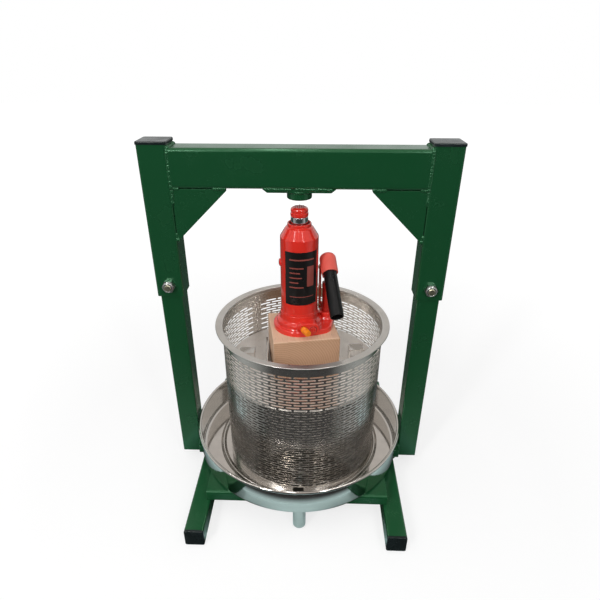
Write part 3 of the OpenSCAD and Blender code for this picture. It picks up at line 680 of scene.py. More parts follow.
# Materials

def start_material(name):
    """A new material, its nodes, its shader and its object coordinates."""
    material = bpy.data.materials.new(name)
    material.use_nodes = True
    tree = material.node_tree
    place = add_node(tree, "TexCoord").outputs["Object"]
    return material, tree, tree.nodes["Principled BSDF"], place


def put_on(tree, shader, group, inputs, depth, strength):
    """Gives a shader the colour, roughness and height of a surface group."""
    skin = add_node(tree, "Group", inputs, node_tree=group).outputs
    feed(tree, shader, {"Base Color": skin["Color"], "Roughness": skin["Roughness"]})
    raise_surface(tree, shader, skin["Height"], depth, strength)


@once("materials")
def painted(name, paint, gloss, cloud=0.3, coat=0.0, peel=0.00022, mirror=0.35, tint=(1, 1, 1)):
    """Sprayed paint on steel; mirror and tint are the level and colour of what it reflects."""
    material, tree, shader, place = start_material(name)
    put_on(tree, shader, paint_group("sprayed_paint"), {
        "Vector": place, "Paint": paint, "Cloud": cloud, "Gloss": gloss}, peel, 0.6)
    feed(tree, shader, {"Coat Weight": coat, "Coat Roughness": 0.05,
                        "Specular IOR Level": mirror, "Specular Tint": tint})
    return material


@once("materials")
def rolled(name, metal, polish, lines, depth=0.00004, metallic=1.0):
    """Bare sheet or bar with rolling lines; lines gives the noise scale on each axis."""
    material, tree, shader, place = start_material(name)
    put_on(tree, shader, rolled_group("rolled_sheet"), {
        "Vector": place, "Lines": mapped(tree, place, lines), "Metal": metal, "Polish": polish},
        depth, 0.5)
    feed(tree, shader, {"Metallic": metallic})
    return material


@once("materials")
def moulded(name, plastic, gloss):
    """Moulded plastic or rubber with a fine grain."""
    material, tree, shader, place = start_material(name)
    cloud = noise(tree, place, scale=40)
    pale = tuple(min(1.0, part * 1.9 + 0.004) for part in plastic)
    feed(tree, shader, {
        "Base Color": blend(tree, spread(tree, cloud, 0.4, 0.75, 0, 0.7), plastic, pale),
        "Roughness": spread(tree, cloud, 0.3, 0.7, gloss - 0.06, gloss + 0.1),
        "Specular IOR Level": 0.3})
    raise_surface(tree, shader, noise(tree, place, scale=1400, detail=2), 0.00012, 0.5)
    return material


@once("materials")
def beech(name, tint, ring_depth):
    """Planed beech; the tint is the tone of a face, and the depth that of its yearly rings."""
    material, tree, shader, place = start_material(name)
    pith = Vector((-0.042, 0.0, -0.020)) + HEAD.inverted() @ middle("wood_block")
    local = mapped(tree, place, turn=(0, 0, -HEAD_TURN), shift=-pith)
    rings = add_node(tree, "TexWave", {
        "Vector": local, "Scale": 88, "Distortion": 3.4, "Detail": 2, "Detail Scale": 0.6},
        wave_type="RINGS", rings_direction="Y", wave_profile="SAW").outputs["Fac"]
    fibre = noise(tree, mapped(tree, local, (900, 18, 900)), scale=1)
    fleck = noise(tree, mapped(tree, local, (420, 70, 1300)), scale=1, detail=2)
    cloud = noise(tree, local, scale=20)
    pale, dark = (tuple(share * part for share, part in zip(tint, tone))
                  for tone in (finishes().beech_pale, finishes().beech_dark))
    grain = combine(tree, spread(tree, rings, 0.25, 1.0, 0.0, ring_depth),
                    spread(tree, fibre, 0.35, 0.7, -0.1, 0.3))
    wood = blend(tree, grain, pale, dark)
    wood = blend(tree, spread(tree, cloud, 0.3, 0.8, 0, 0.3), wood, dark)
    wood = blend(tree, spread(tree, fleck, 0.64, 0.72, 0, 0.4), wood, darker(dark, 0.6))
    feed(tree, shader, {"Base Color": wood, "Roughness": spread(tree, fibre, 0.3, 0.7, 0.5, 0.68)})
    raise_surface(tree, shader, combine(tree, fibre, rings), 0.0001, 0.4)
    return material


def darker(tone, share):
    """A colour times a share."""
    return tuple(share * part for part in tone)


# Noise scales of rolling lines: up and down a turned part, along a plate, and none
TURNING_LINES = (50, 50, 1100)
PLATE_LINES = (900, 40, 900)
NO_LINES = (300, 300, 300)


def frame_paint():
    return painted("frame_green_paint", finishes().frame_green, gloss=0.22, cloud=0.1,
                   peel=0.00002, mirror=0.8, tint=(0.5, 1.0, 0.65))


def jack_paint():
    return painted("jack_red_paint", finishes().jack_red, gloss=0.12, cloud=0.15, coat=0.9,
                   peel=0.00005, mirror=0.3)


def cap_plastic():
    return moulded("cap_plastic", finishes().cap_black, gloss=0.24)


def tray_steel():
    return rolled("tray_polished_steel", finishes().stainless, 0.075, (60, 60, 900),
                  depth=0.000008)


def basket_steel():
    return rolled("basket_satin_steel", finishes().stainless, 0.21, TURNING_LINES,
                  depth=0.000003, metallic=0.96)


def plate_steel():
    return rolled("plate_satin_steel", finishes().plate, 0.36, PLATE_LINES, metallic=0.65)


def zinc_plate():
    return rolled("zinc_plate", finishes().zinc, 0.3, NO_LINES)


def ground_steel():
    return rolled("ground_steel", finishes().bright_steel, 0.1, (40, 40, 2600),
                  depth=0.00001)


# Operators

class BuildOperator(bpy.types.Operator):
    """Base of the operators that model a piece."""

    bl_options = {"REGISTER", "UNDO"}

    def execute(self, context):
        self.build()
        return {"FINISHED"}


def frame_piece(name, node, solid, place=HOME):
    """A green piece of the frame."""
    single(name, frame_paint(), solid, "frame", "green_paint", node, place)


def frame_tube(name, node, axis, wall, corner):
    """A green square tube that fills a CAD node's box along an axis."""
    size = extent(node)
    across = {"X": (size.y, size.z, size.x), "Y": (size.x, size.z, size.y), "Z": size}[axis]
    frame_piece(name, node, square_tube(*across, wall, corner),
                at(middle(node)) @ AXIS_TURNS[axis])


class PRESS_OT_base(BuildOperator):
    """Model the feet, the bar between the posts and the folded deck."""

    bl_idname = "press.base"
    bl_label = "Base"

    def build(self):
        size = sizes()
        for node in ("left_foot", "right_foot"):
            frame_tube(node + "_tube", node, "Y", size.thin_wall, size.foot_corner)
        bar = block(extent("base_crossbar"), size.sheet_edge)
        frame_piece("post_bar", "base_crossbar", bar, at(middle("base_crossbar")))
        self.deck()

    def deck(self):
        bottom, top = box_ends("deck")
        sheet = top.z - high("base_crossbar").z
        bend = 5 * MM
        inner = bend - sheet
        outline = rounded_path([
            (bottom.y, bottom.z, 0), (bottom.y, top.z, bend), (top.y, top.z, bend),
            (top.y, bottom.z, 0), (top.y - sheet, bottom.z, 0),
            (top.y - sheet, top.z - sheet, inner), (bottom.y + sheet, top.z - sheet, inner),
            (bottom.y + sheet, bottom.z, 0)])
        solid = break_edges(prism(outline, top.x - bottom.x), sizes().sheet_edge)
        frame_piece("deck_sheet", "deck", solid, at((bottom.x, 0, 0)) @ AXIS_TURNS["X"])


class PRESS_OT_posts(BuildOperator):
    """Model the bolted posts."""

    bl_idname = "press.posts"
    bl_label = "Posts"

    def build(self):
        size = sizes()
        for side in ("left", "right"):
            for part, wall, corner in (("lower", size.thin_wall, size.inner_corner),
                                       ("upper", size.thick_wall, size.post_corner)):
                node = f"{side}_{part}_post"
                frame_tube(node + "_tube", node, "Z", wall, corner)


class PRESS_OT_yoke(BuildOperator):
    """Model the beam with its gussets, pad plate and saddle ring."""

    bl_idname = "press.yoke"
    bl_label = "Yoke"

    def build(self):
        size = sizes()
        frame_tube("beam_tube", "top_beam", "X", size.thick_wall, size.beam_corner)
        self.gussets()
        near, far = box_ends("pad_plate")
        slope = 6.5 * MM
        outline = [(near.x, far.z), (near.x + slope, near.z),
                   (far.x - slope, near.z), (far.x, far.z)]
        pad = break_edges(prism(outline, far.y - near.y), size.sheet_edge)
        frame_piece("beam_pad", "pad_plate", pad, at((0, far.y, 0)) @ AXIS_TURNS["Y"])
        bottom, top = heights("saddle_ring")
        outer = radius_of("saddle_ring")
        inner = outer - 3.1 * MM
        frame_piece("saddle_ring_turned", "saddle_ring", ring([
            (inner, bottom, size.sheet_edge), (outer, bottom, 1.8 * MM),
            (outer, top, 0), (inner, top, 0)], steps=72))

    def gussets(self):
        """Corner plates, with an open joint to the beam and the posts."""
        piece = Piece("gusset_plates", frame_paint())
        bottom, top = box_ends("corner_gussets")
        drop = top.z - bottom.z
        width, nose, sheet = 75 * MM, 3 * MM, 4 * MM
        gap = sizes().weld_gap
        outline = [(gap, -gap), (width, -gap), (width, -nose), (nose, -drop), (gap, -drop)]
        for side in SIDES:
            flip = Matrix.Diagonal((side, 1, 1, 1))
            for y in (bottom.y + sheet, top.y):
                solid = break_edges(prism(outline, sheet), sizes().sheet_edge)
                piece.add(solid, at((-side * top.x, y, top.z)) @ flip @ AXIS_TURNS["Y"])
        piece.finish("frame", "green_paint", "corner_gussets")


class PRESS_OT_caps(BuildOperator):
    """Model the plastic caps of posts and feet."""

    bl_idname = "press.caps"
    bl_label = "Tube caps"

    def build(self):
        size = sizes()
        tops = Piece("post_caps", cap_plastic())
        bottom, top = heights("post_top_caps")
        for node in ("left_upper_post", "right_upper_post"):
            end = high(node).z
            self.cap(tops, at((middle(node).x, middle(node).y, end)),
                     extent(node).x + 2 * size.cap_lip, top - end, end - bottom, size.post_corner)
        tops.finish("frame", "black_plastic", "post_top_caps")
        ends = Piece("foot_caps", cap_plastic())
        plug = 12 * MM
        for node in ("left_foot", "right_foot"):
            flange = high("foot_end_caps").y - high(node).y
            for side in SIDES:
                place = at((middle(node).x, side * high(node).y, middle(node).z))
                self.cap(ends, place @ along((0, side, 0)), extent(node).x, flange, plug,
                         size.foot_corner)
        ends.finish("frame", "black_plastic", "foot_end_caps")

    def cap(self, piece, place, width, flange, plug, corner):
        """A flange with a round edge above its place and a plug below it."""
        outer = prism(rounded_rectangle(width, width, corner), flange)
        piece.add(round_top(outer, flange, sizes().cap_round), place)
        inner = 0.8 * width
        insert = prism(rounded_rectangle(inner, inner, corner / 2), plug)
        piece.add(insert, place @ at((0, 0, -plug)))


class PRESS_OT_bolts(BuildOperator):
    """Model the bolts and locking nuts of the posts."""

    bl_idname = "press.bolts"
    bl_label = "Post bolts"

    def build(self):
        bolts = Piece("post_bolts_turned", zinc_plate())
        nuts = Piece("post_lock_nuts", rolled("nut_plate", finishes().nut_steel, 0.28, NO_LINES),
                     moulded("nut_insert", (0.05, 0.06, 0.09), gloss=0.5))
        front, back = low("post_bolts").y, high("post_bolts").y
        face = high("left_upper_post").y
        across, bolt_r = extent("post_bolts").z, 5 * MM
        root, pitch, sunk = bolt_r - 0.8 * MM, 1.5 * MM, 4 * MM
        reach = -face - front + sunk
        thread = [(0, reach), (root, reach), *thread_path(bolt_r, root, reach, 0, pitch),
                  (root, -2 * face), (0, -2 * face)]
        nut, collar = extent("post_nuts").y, 2.5 * MM
        dome_low, dome_r = nut - collar - 0.5 * MM, across / 2 * 0.93
        dome = [(bolt_r, dome_low, 0), (dome_r, dome_low, 0), (dome_r, nut, 1.5 * MM),
                (bolt_r + 1.2 * MM, nut, 0.5 * MM), (bolt_r, nut - 1.2 * MM, 0)]
        forward, backward = along((0, -1, 0)), along((0, 1, 0))
        for side in SIDES:
            x, z = side * middle("right_upper_post").x, middle("post_bolts").z
            bolts.add(lathe(thread, closed=False, steps=32), at((x, sunk - face, z)) @ forward)
            bolts.add(hexagon(across, back - face), at((x, face, z)) @ backward)
            place = at((x, -face, z)) @ forward
            nuts.add(hexagon(across, nut - collar), place)
            nuts.add(ring(dome, 40), place)
            insert = band(bolt_r, bolt_r + 1.3 * MM, nut - 2.2 * MM, nut - 0.5 * MM, steps=40)
            nuts.add(insert, place, material=1)
        bolts.finish("frame", "zinc", "post_bolts")
        nuts.finish("frame", "zinc", "post_nuts")


class PRESS_OT_welds(BuildOperator):
    """Model the weld beads of the frame."""

    bl_idname = "press.welds"
    bl_label = "Welds"

    def build(self):
        self.random = random.Random(7)
        self.piece = Piece("weld_beads", frame_paint())
        self.yoke_seams()
        self.gusset_tacks()
        self.base_seams()
        self.piece.finish("frame", "green_paint", smooth=80, even=False)

    def yoke_seams(self):
        """Seams between beam and posts, and round the pad plate and its ring."""
        bottom, top = box_ends("top_beam")
        rise = 3 * MM
        for side in SIDES:
            x = side * (top.x - 0.4 * MM)
            for face in SIDES:
                y = face * (top.y - 1.5 * MM)
                self.bead((x, y, bottom.z + 1 * MM), (x, y, top.z - rise))
                self.blob((x, face * (top.y - 4 * MM), top.z - 1 * MM), swell=1.35)
            z = top.z - 0.9 * MM
            self.bead((x, bottom.y + 5 * MM, z), (x, top.y - 5 * MM, z))
        near, far = box_ends("pad_plate")
        width = far.x - near.x
        for face in SIDES:
            y = face * (far.y - 0.5 * MM)
            for start, end in ((-0.46, -0.12), (-0.04, 0.22), (0.25, 0.44)):
                self.bead((start * width, y, far.z), (end * width, y, far.z - 0.6 * MM),
                          swell=0.85)
        radius = radius_of("saddle_ring")
        count = round(FULL_TURN * radius / sizes().weld_pitch)
        for step in range(count):
            turn = FULL_TURN * step / count
            x, y = radius * math.cos(turn), radius * math.sin(turn)
            self.blob((x, y, high("saddle_ring").z), swell=0.7)

    def gusset_tacks(self):
        """Short tacks that hold the gussets, with open joints between them."""
        beam = low("top_beam").z
        tip = low("corner_gussets").z
        drop = (beam - tip) / MM
        for side in SIDES:
            x = side * (high("top_beam").x - 0.3 * MM)
            for face in SIDES:
                y = face * (high("corner_gussets").y - 0.4 * MM)
                z = beam - 0.3 * MM
                for start, end in ((2, 9), (58, 73)):
                    self.bead((x - side * start * MM, y, z), (x - side * end * MM, y, z),
                              swell=0.85)
                for start, end in ((4, 20), (drop - 9, drop)):
                    self.bead((x, y, beam - start * MM), (x, y, beam - end * MM), swell=0.85)
                self.blob((x - side * 1.2 * MM, y, tip + 1 * MM), swell=1.3)

    def base_seams(self):
        """Seams between the posts, the bar that joins them and the feet."""
        bottom, top = box_ends("base_crossbar")
        rise, foot = 2 * MM, 30 * MM
        for side in SIDES:
            x = side * low("right_lower_post").x
            post_y = high("right_lower_post").y
            foot_x = side * high("right_foot").x
            for face in SIDES:
                y, bar_y = face * post_y, face * top.y
                self.bead((x, y, bottom.z + rise), (x, y, top.z - rise))
                self.bead((foot_x, bar_y, bottom.z), (foot_x - side * foot, bar_y, bottom.z))
            self.bead((x, -post_y, top.z), (x, post_y, top.z))

    def blob(self, place, swell=1.0):
        """One drop of weld metal, a little flat."""
        solid = ball(sizes().weld_radius * swell * self.random.uniform(0.9, 1.1), detail=2)
        bmesh.ops.scale(solid, vec=(1, 0.75, 1), verts=solid.verts)
        self.piece.add(solid, at(place))

    def bead(self, start, end, swell=1.0):
        """A row of drops from start to end."""
        start, end = Vector(start), Vector(end)
        count = max(2, round((end - start).length / sizes().weld_pitch))
        for step in range(count + 1):
            jitter = Vector([self.random.uniform(-0.25, 0.25) * MM for _ in range(3)])
            self.blob(start.lerp(end, step / count) + jitter, swell)


class PRESS_OT_tray(BuildOperator):
    """Model the tray with its rolled rim and spout."""

    bl_idname = "press.tray"
    bl_label = "Tray"

    def build(self):
        bottom, top = heights("tray_bowl")
        rim_r = radius_of("tray_bowl")
        sheet = low("basket_wall").z - bottom
        roll, corner = 2.5 * MM, 8 * MM
        wall_top = rim_r - roll + sheet / 2
        wall_low = wall_top - 2 * MM
        ring_r = radius_of("basket_wall") + 9.1 * MM
        floor, ridge = bottom + sheet, bottom + sheet + 3 * MM
        steps = 144
        bowl = turned([
            (0, bottom, 0), (wall_low, bottom, corner), (wall_top, top - roll, 0),
            (wall_top - sheet, top - roll, 0), (wall_low - sheet, floor, corner - sheet),
            (ring_r + 4.5 * MM, floor, 1.6 * MM), (ring_r + 1 * MM, ridge, 2.2 * MM),
            (ring_r - 1 * MM, ridge, 2.2 * MM), (ring_r - 4.5 * MM, floor, 1.6 * MM),
            (0, floor, 0)], steps=steps)
        rim = circle_path((rim_r - roll, top - roll), roll, steps=16)
        tray = Piece("tray_sheet", tray_steel())
        outer = radius_of("tray_spout")
        inner = outer - 1 * MM
        tray.add(cut_away(bowl, self.hole_tool(inner, floor)))
        tray.add(lathe(rim, closed=True, steps=steps))
        tray.finish("tray", "stainless", "tray_bowl")
        self.spout(inner, outer)

    def hole_tool(self, radius, floor):
        """What cuts the spout's hole into the tray's floor."""
        centre = middle("tray_spout")
        tool = cone(radius, radius, 20 * MM, segments=48)
        bmesh.ops.translate(tool, verts=tool.verts, vec=(centre.x, centre.y, floor))
        return tool

    def spout(self, inner, outer):
        """The tube under the tray's floor."""
        centre = middle("tray_spout")
        bottom, top = heights("tray_spout")
        lip = 0.45 * MM
        tube = ring([(inner, bottom, lip), (outer, bottom, lip), (outer, top - 3 * MM, 1 * MM),
                     (outer + 2.5 * MM, top, 0), (inner, top, 0)], steps=48)
        single("spout_tube", tray_steel(), tube, "tray", "stainless", "tray_spout",
               at((centre.x, centre.y, 0)))


class PRESS_OT_basket(BuildOperator):
    """Model the slotted basket and its hem."""

    bl_idname = "press.basket"
    bl_label = "Basket"

    def build(self):
        size = sizes()
        self.seam_turn = math.radians(132)
        self.outer = radius_of("basket_wall")
        self.sheet = 1 * MM
        self.bottom, self.top = heights("basket_wall")
        round_length = FULL_TURN * self.outer
        slotted = round_length - size.seam_width
        self.across = round(slotted / (size.slot_length + size.slot_apart))
        self.tile_w = slotted / self.across
        zone = self.top - self.bottom - size.slot_band - size.slot_foot
        self.rows = round(zone / size.slot_pitch)
        self.tile_h = zone / self.rows
        wall = self.flat_sheet(round_length)
        self.wrap(wall)
        single("basket_sheet", basket_steel(), wall, "basket", "stainless", "basket_wall", LOAD,
               smooth=30, even=False)
        self.hem()
        self.seam()

    def tile(self):
        """One flat tile of the sheet with its slot, as a mesh."""
        places = [n * self.tile_w / 4 for n in range(5)]
        edge = [(x, 0) for x in places] + [(x, self.tile_h) for x in reversed(places)]
        wide, tall = sizes().slot_length / 2, sizes().slot_height / 2
        nose = tall
        half = [(nose - wide, -tall), (-wide / 3, -tall), (wide / 3, -tall), (wide - nose, -tall),
                (wide, -tall / 2.5), (wide, tall / 2.5)]
        slot = [(self.tile_w / 2 + side * x, self.tile_h / 2 + side * y)
                for side in (1, -1) for x, y in half]
        return mesh_of(flat_face(edge, slot), "tile")

    def strip(self, sheet, start, end, bottom, top):
        """A plain strip of the sheet, cut every quarter tile."""
        count = max(1, round((end - start) / (self.tile_w / 4)))
        places = [start + (end - start) * n / count for n in range(count + 1)]
        lower, upper = [[sheet.verts.new((x, y, 0)) for x in places] for y in (bottom, top)]
        for n in range(count):
            sheet.faces.new((lower[n], lower[n + 1], upper[n + 1], upper[n]))

    def flat_sheet(self, round_length):
        """The unrolled sheet: rows of tiles, plain bands, the seam's strip and the drain notch."""
        size = sizes()
        sheet = bmesh.new()
        tile = self.tile()
        slots_end = self.across * self.tile_w
        for row in range(self.rows):
            odd = row % 2
            y = size.slot_foot + row * self.tile_h
            shift = odd * self.tile_w / 2
            if odd:
                self.strip(sheet, 0, shift, y, y + self.tile_h)
                self.strip(sheet, slots_end - shift, slots_end, y, y + self.tile_h)
            for column in range(self.across - odd):
                start = len(sheet.verts)
                sheet.from_mesh(tile)
                sheet.verts.ensure_lookup_table()
                bmesh.ops.translate(sheet, verts=sheet.verts[start:],
                                    vec=(column * self.tile_w + shift, y, 0))
            self.strip(sheet, slots_end, round_length, y, y + self.tile_h)
        bpy.data.meshes.remove(tile)
        quarter = self.tile_w / 4
        front = (math.radians(270) - self.seam_turn) * self.outer - size.seam_width / 2
        left, right = (round(front / quarter + side * 1.5) * quarter for side in SIDES)
        foot, height = size.slot_foot, self.top - self.bottom
        band_low = height - size.slot_band
        for strip in ((0, left, 0, foot), (left, right, size.notch_height, foot),
                      (right, slots_end, 0, foot), (slots_end, round_length, 0, foot),
                      (0, slots_end, band_low, height),
                      (slots_end, round_length, band_low, height)):
            self.strip(sheet, *strip)
        return sheet

    def wrap(self, sheet):
        """Rolls the flat sheet up and gives it its thickness."""
        seam = self.seam_turn + sizes().seam_width / 2 / self.outer
        for vert in sheet.verts:
            x, y, _ = vert.co
            turn = seam + x / self.outer
            vert.co = (self.outer * math.cos(turn), self.outer * math.sin(turn), self.bottom + y)
        bmesh.ops.remove_doubles(sheet, verts=sheet.verts, dist=2e-5)
        bmesh.ops.recalc_face_normals(sheet, faces=sheet.faces)
        face = next(iter(sheet.faces))
        if face.normal.dot(face.calc_center_median()) < 0:
            bmesh.ops.reverse_faces(sheet, faces=sheet.faces)
        bmesh.ops.solidify(sheet, geom=list(sheet.faces), thickness=self.sheet)

    def hem(self):
        """The thin flange that is bent out round the top."""
        bottom, top = heights("basket_hem")
        outer = radius_of("basket_hem")
        inner = self.outer - self.sheet
        sheet, bend = 1.8 * MM, 2.6 * MM
        edge = 0.48 * sheet
        steel = rolled("hem_satin_steel", finishes().stainless, 0.34, TURNING_LINES,
                       depth=0.000003)
        flange = ring([
            (inner, bottom, 0), (self.outer, bottom, 0),
            (self.outer, top - sheet - 0.3 * MM, bend - self.sheet),
            (outer, top - sheet, edge), (outer, top, edge), (inner, top, bend)], steps=144, arc=8)
        single("basket_flange", steel, flange, "basket", "stainless", "basket_hem", LOAD)

    def seam(self):
        """The welded joint of the sheet."""
        piece = Piece("basket_seam_weld", basket_steel())
        drops = random.Random(11)
        height, pitch, drop_r = self.top - self.bottom, 1.6 * MM, 1.25 * MM
        radius = self.outer - self.sheet / 2
        x, y = radius * math.cos(self.seam_turn), radius * math.sin(self.seam_turn)
        count = round(height / pitch)
        for step in range(1, count):
            place = at((x, y, self.bottom + height * step / count))
            piece.add(ball(drop_r * drops.uniform(0.9, 1.1), detail=1), LOAD @ place)
        piece.finish("basket", "stainless", smooth=80, even=False)


class PRESS_OT_plate(BuildOperator):
    """Model the press plate with its rails and grips."""

    bl_idname = "press.plate"
    bl_label = "Press plate"

    def build(self):
        edge = 1.0 * MM
        # The plate's underside gets a dark copy of the steel: painted shade under the plate
        underside_shade = rolled("plate_dull_steel", (0.2, 0.19, 0.18), 0.5, PLATE_LINES)
        plate = Piece("plate_disc", plate_steel(), underside_shade)
        plate.add(rod(radius_of("press_plate"), *heights("press_plate"), edge, edge, steps=128),
                  LOAD)
        # Faces that look down get the painted shade
        plate.second_material(lambda normal: normal.z < -0.8)
        plate.finish("press_head", "stainless", "press_plate")
        rails = Piece("block_rails", tray_steel())
        grips = Piece("plate_grip_tubes", tray_steel())
        rail = Vector((3 * MM, 80 * MM, extent("plate_rails").z))
        rail_x = 55.6 * MM + rail.x / 2
        grip, grip_length, grip_wall = extent("plate_grips").z, 18 * MM, 2 * MM
        grip_x = rail_x + rail.x / 2 + 18 * MM + grip / 2
        skewed = LOAD @ Matrix.Rotation(HEAD_TURN + sizes().rail_skew, 4, "Z")
        for side in SIDES:
            rails.add(block(rail, sizes().sheet_edge),
                      skewed @ at((side * rail_x, 0, middle("plate_rails").z)))
            grips.add(square_tube(grip, grip, grip_length, grip_wall, grip_wall),
                      skewed @ at((side * grip_x, 0, middle("plate_grips").z)) @ AXIS_TURNS["Y"])
        rails.finish("press_head", "stainless", "plate_rails")
        grips.finish("press_head", "stainless", "plate_grips")


class PRESS_OT_block(BuildOperator):
    """Model the wooden block."""

    bl_idname = "press.block"
    bl_label = "Wooden block"

    def build(self):
        width, depth = 102 * MM, 95 * MM
        piece = Piece("beech_block", beech("beech_planed_side", (1, 1, 1), ring_depth=0.3),
                      beech("beech_end_grain", (0.82, 0.75, 0.69), ring_depth=0.9))
        piece.add(block((width, depth, extent("wood_block").z), sizes().block_round, segments=4),
                  at(middle("wood_block")) @ HEAD)
        fibres = HEAD @ Vector((0, 1, 0))
        piece.second_material(lambda normal: abs(normal.dot(fibres)) > 0.8)
        piece.finish("press_head", "beech", "wood_block")


# The links' lower pin is this far below the upper one
LINK_LENGTH = 67 * MM
LINK_RADIUS = 4.5 * MM
PLUNGER_RADIUS = 4.5 * MM

# Corners of a bar with round ends are rounded by this share of its half width
ROUND_END = 0.98


class PRESS_OT_jack_base(BuildOperator):
    """Model the cast base of the jack."""

    bl_idname = "press.jack_base"
    bl_label = "Jack base"

    def build(self):
        piece = Piece("base_casting", jack_paint())
        bottom, tank_low = low("jack_base").z, low("oil_tank").z
        tank_r, foot_r = radius_of("oil_tank"), 35 * MM
        flange = 8 * MM
        top = bottom + flange
        lobe = Vector((PUMP.x, (PUMP.y + LINK_PIN.y - 0.94 * MM) / 2))
        outline = round_hull([((0, 0), 40.5 * MM), ((28.5 * MM, -14 * MM), 21.5 * MM),
                              (lobe, 16 * MM)])
        piece.add(round_top(prism(outline, flange), flange, 2.6 * MM), HEAD @ at((0, 0, bottom)))
        piece.add(turned([
            (0, top - 1 * MM, 0), (foot_r + 1.6 * MM, top - 1 * MM, 0),
            (foot_r, top + 1.2 * MM, 1.2 * MM), (foot_r - 0.3 * MM, top + 6.6 * MM, 2.8 * MM),
            (tank_r + 2.2 * MM, top + 9.6 * MM, 4 * MM),
            (tank_r + 1 * MM, tank_low - 0.3 * MM, 0.8 * MM),
            (tank_r - 1 * MM, tank_low, 0), (0, tank_low, 0)], steps=96))
        self.boss(piece, bottom)
        self.pump_seat(piece, top)
        piece.finish("press_head", "red_paint", "jack_base")

    def boss(self, piece, bottom):
        """The block that holds the release valve and its plug."""
        half, height, front = 17 * MM, 21 * MM, -VALVE.y
        arch, offset = 8.4 * MM, 8 * MM
        outline = rounded_path([(-half, 0, 0), (half, 0, 0), (half, height, arch),
                                (-half, height, arch)], steps=10)
        solid = break_edges(prism(outline, front), 1.6 * MM, segments=4, least=1.0)
        piece.add(solid, HEAD @ at((offset, 0, bottom)) @ AXIS_TURNS["Y"])
        piece.add(rod(6.4 * MM, 0, 1.1 * MM, 0, 0.5 * MM, steps=40),
                  HEAD @ at(VALVE - VALVE_AXIS * 0.8 * MM) @ along(VALVE_AXIS))

    def pump_seat(self, piece, flange_top):
        """The pad under the pump cylinder and the lug of the links."""
        sunk = flange_top - 1 * MM
        pad_top, pad_r = low("pump_cylinder").z, 11 * MM
        pad = turned([
            (0, sunk, 0), (pad_r + 2.5 * MM, sunk, 0), (pad_r, flange_top + 3 * MM, 2 * MM),
            (pad_r - 0.4 * MM, pad_top, 1.4 * MM), (0, pad_top, 0)], steps=48)
        piece.add(pad, HEAD @ at((PUMP.x, PUMP.y, 0)))
        lug_top, width = LINK_PIN.z - LINK_LENGTH + 6 * MM, 13 * MM
        end = LINK_RADIUS * ROUND_END
        outline = rounded_path([(-LINK_RADIUS, sunk, 0), (LINK_RADIUS, sunk, 0),
                                (LINK_RADIUS, lug_top, end), (-LINK_RADIUS, lug_top, end)])
        piece.add(break_edges(prism(outline, width), 0.6 * MM),
                  HEAD @ at((LINK_PIN.x - width / 2, LINK_PIN.y, 0)) @ AXIS_TURNS["X"])


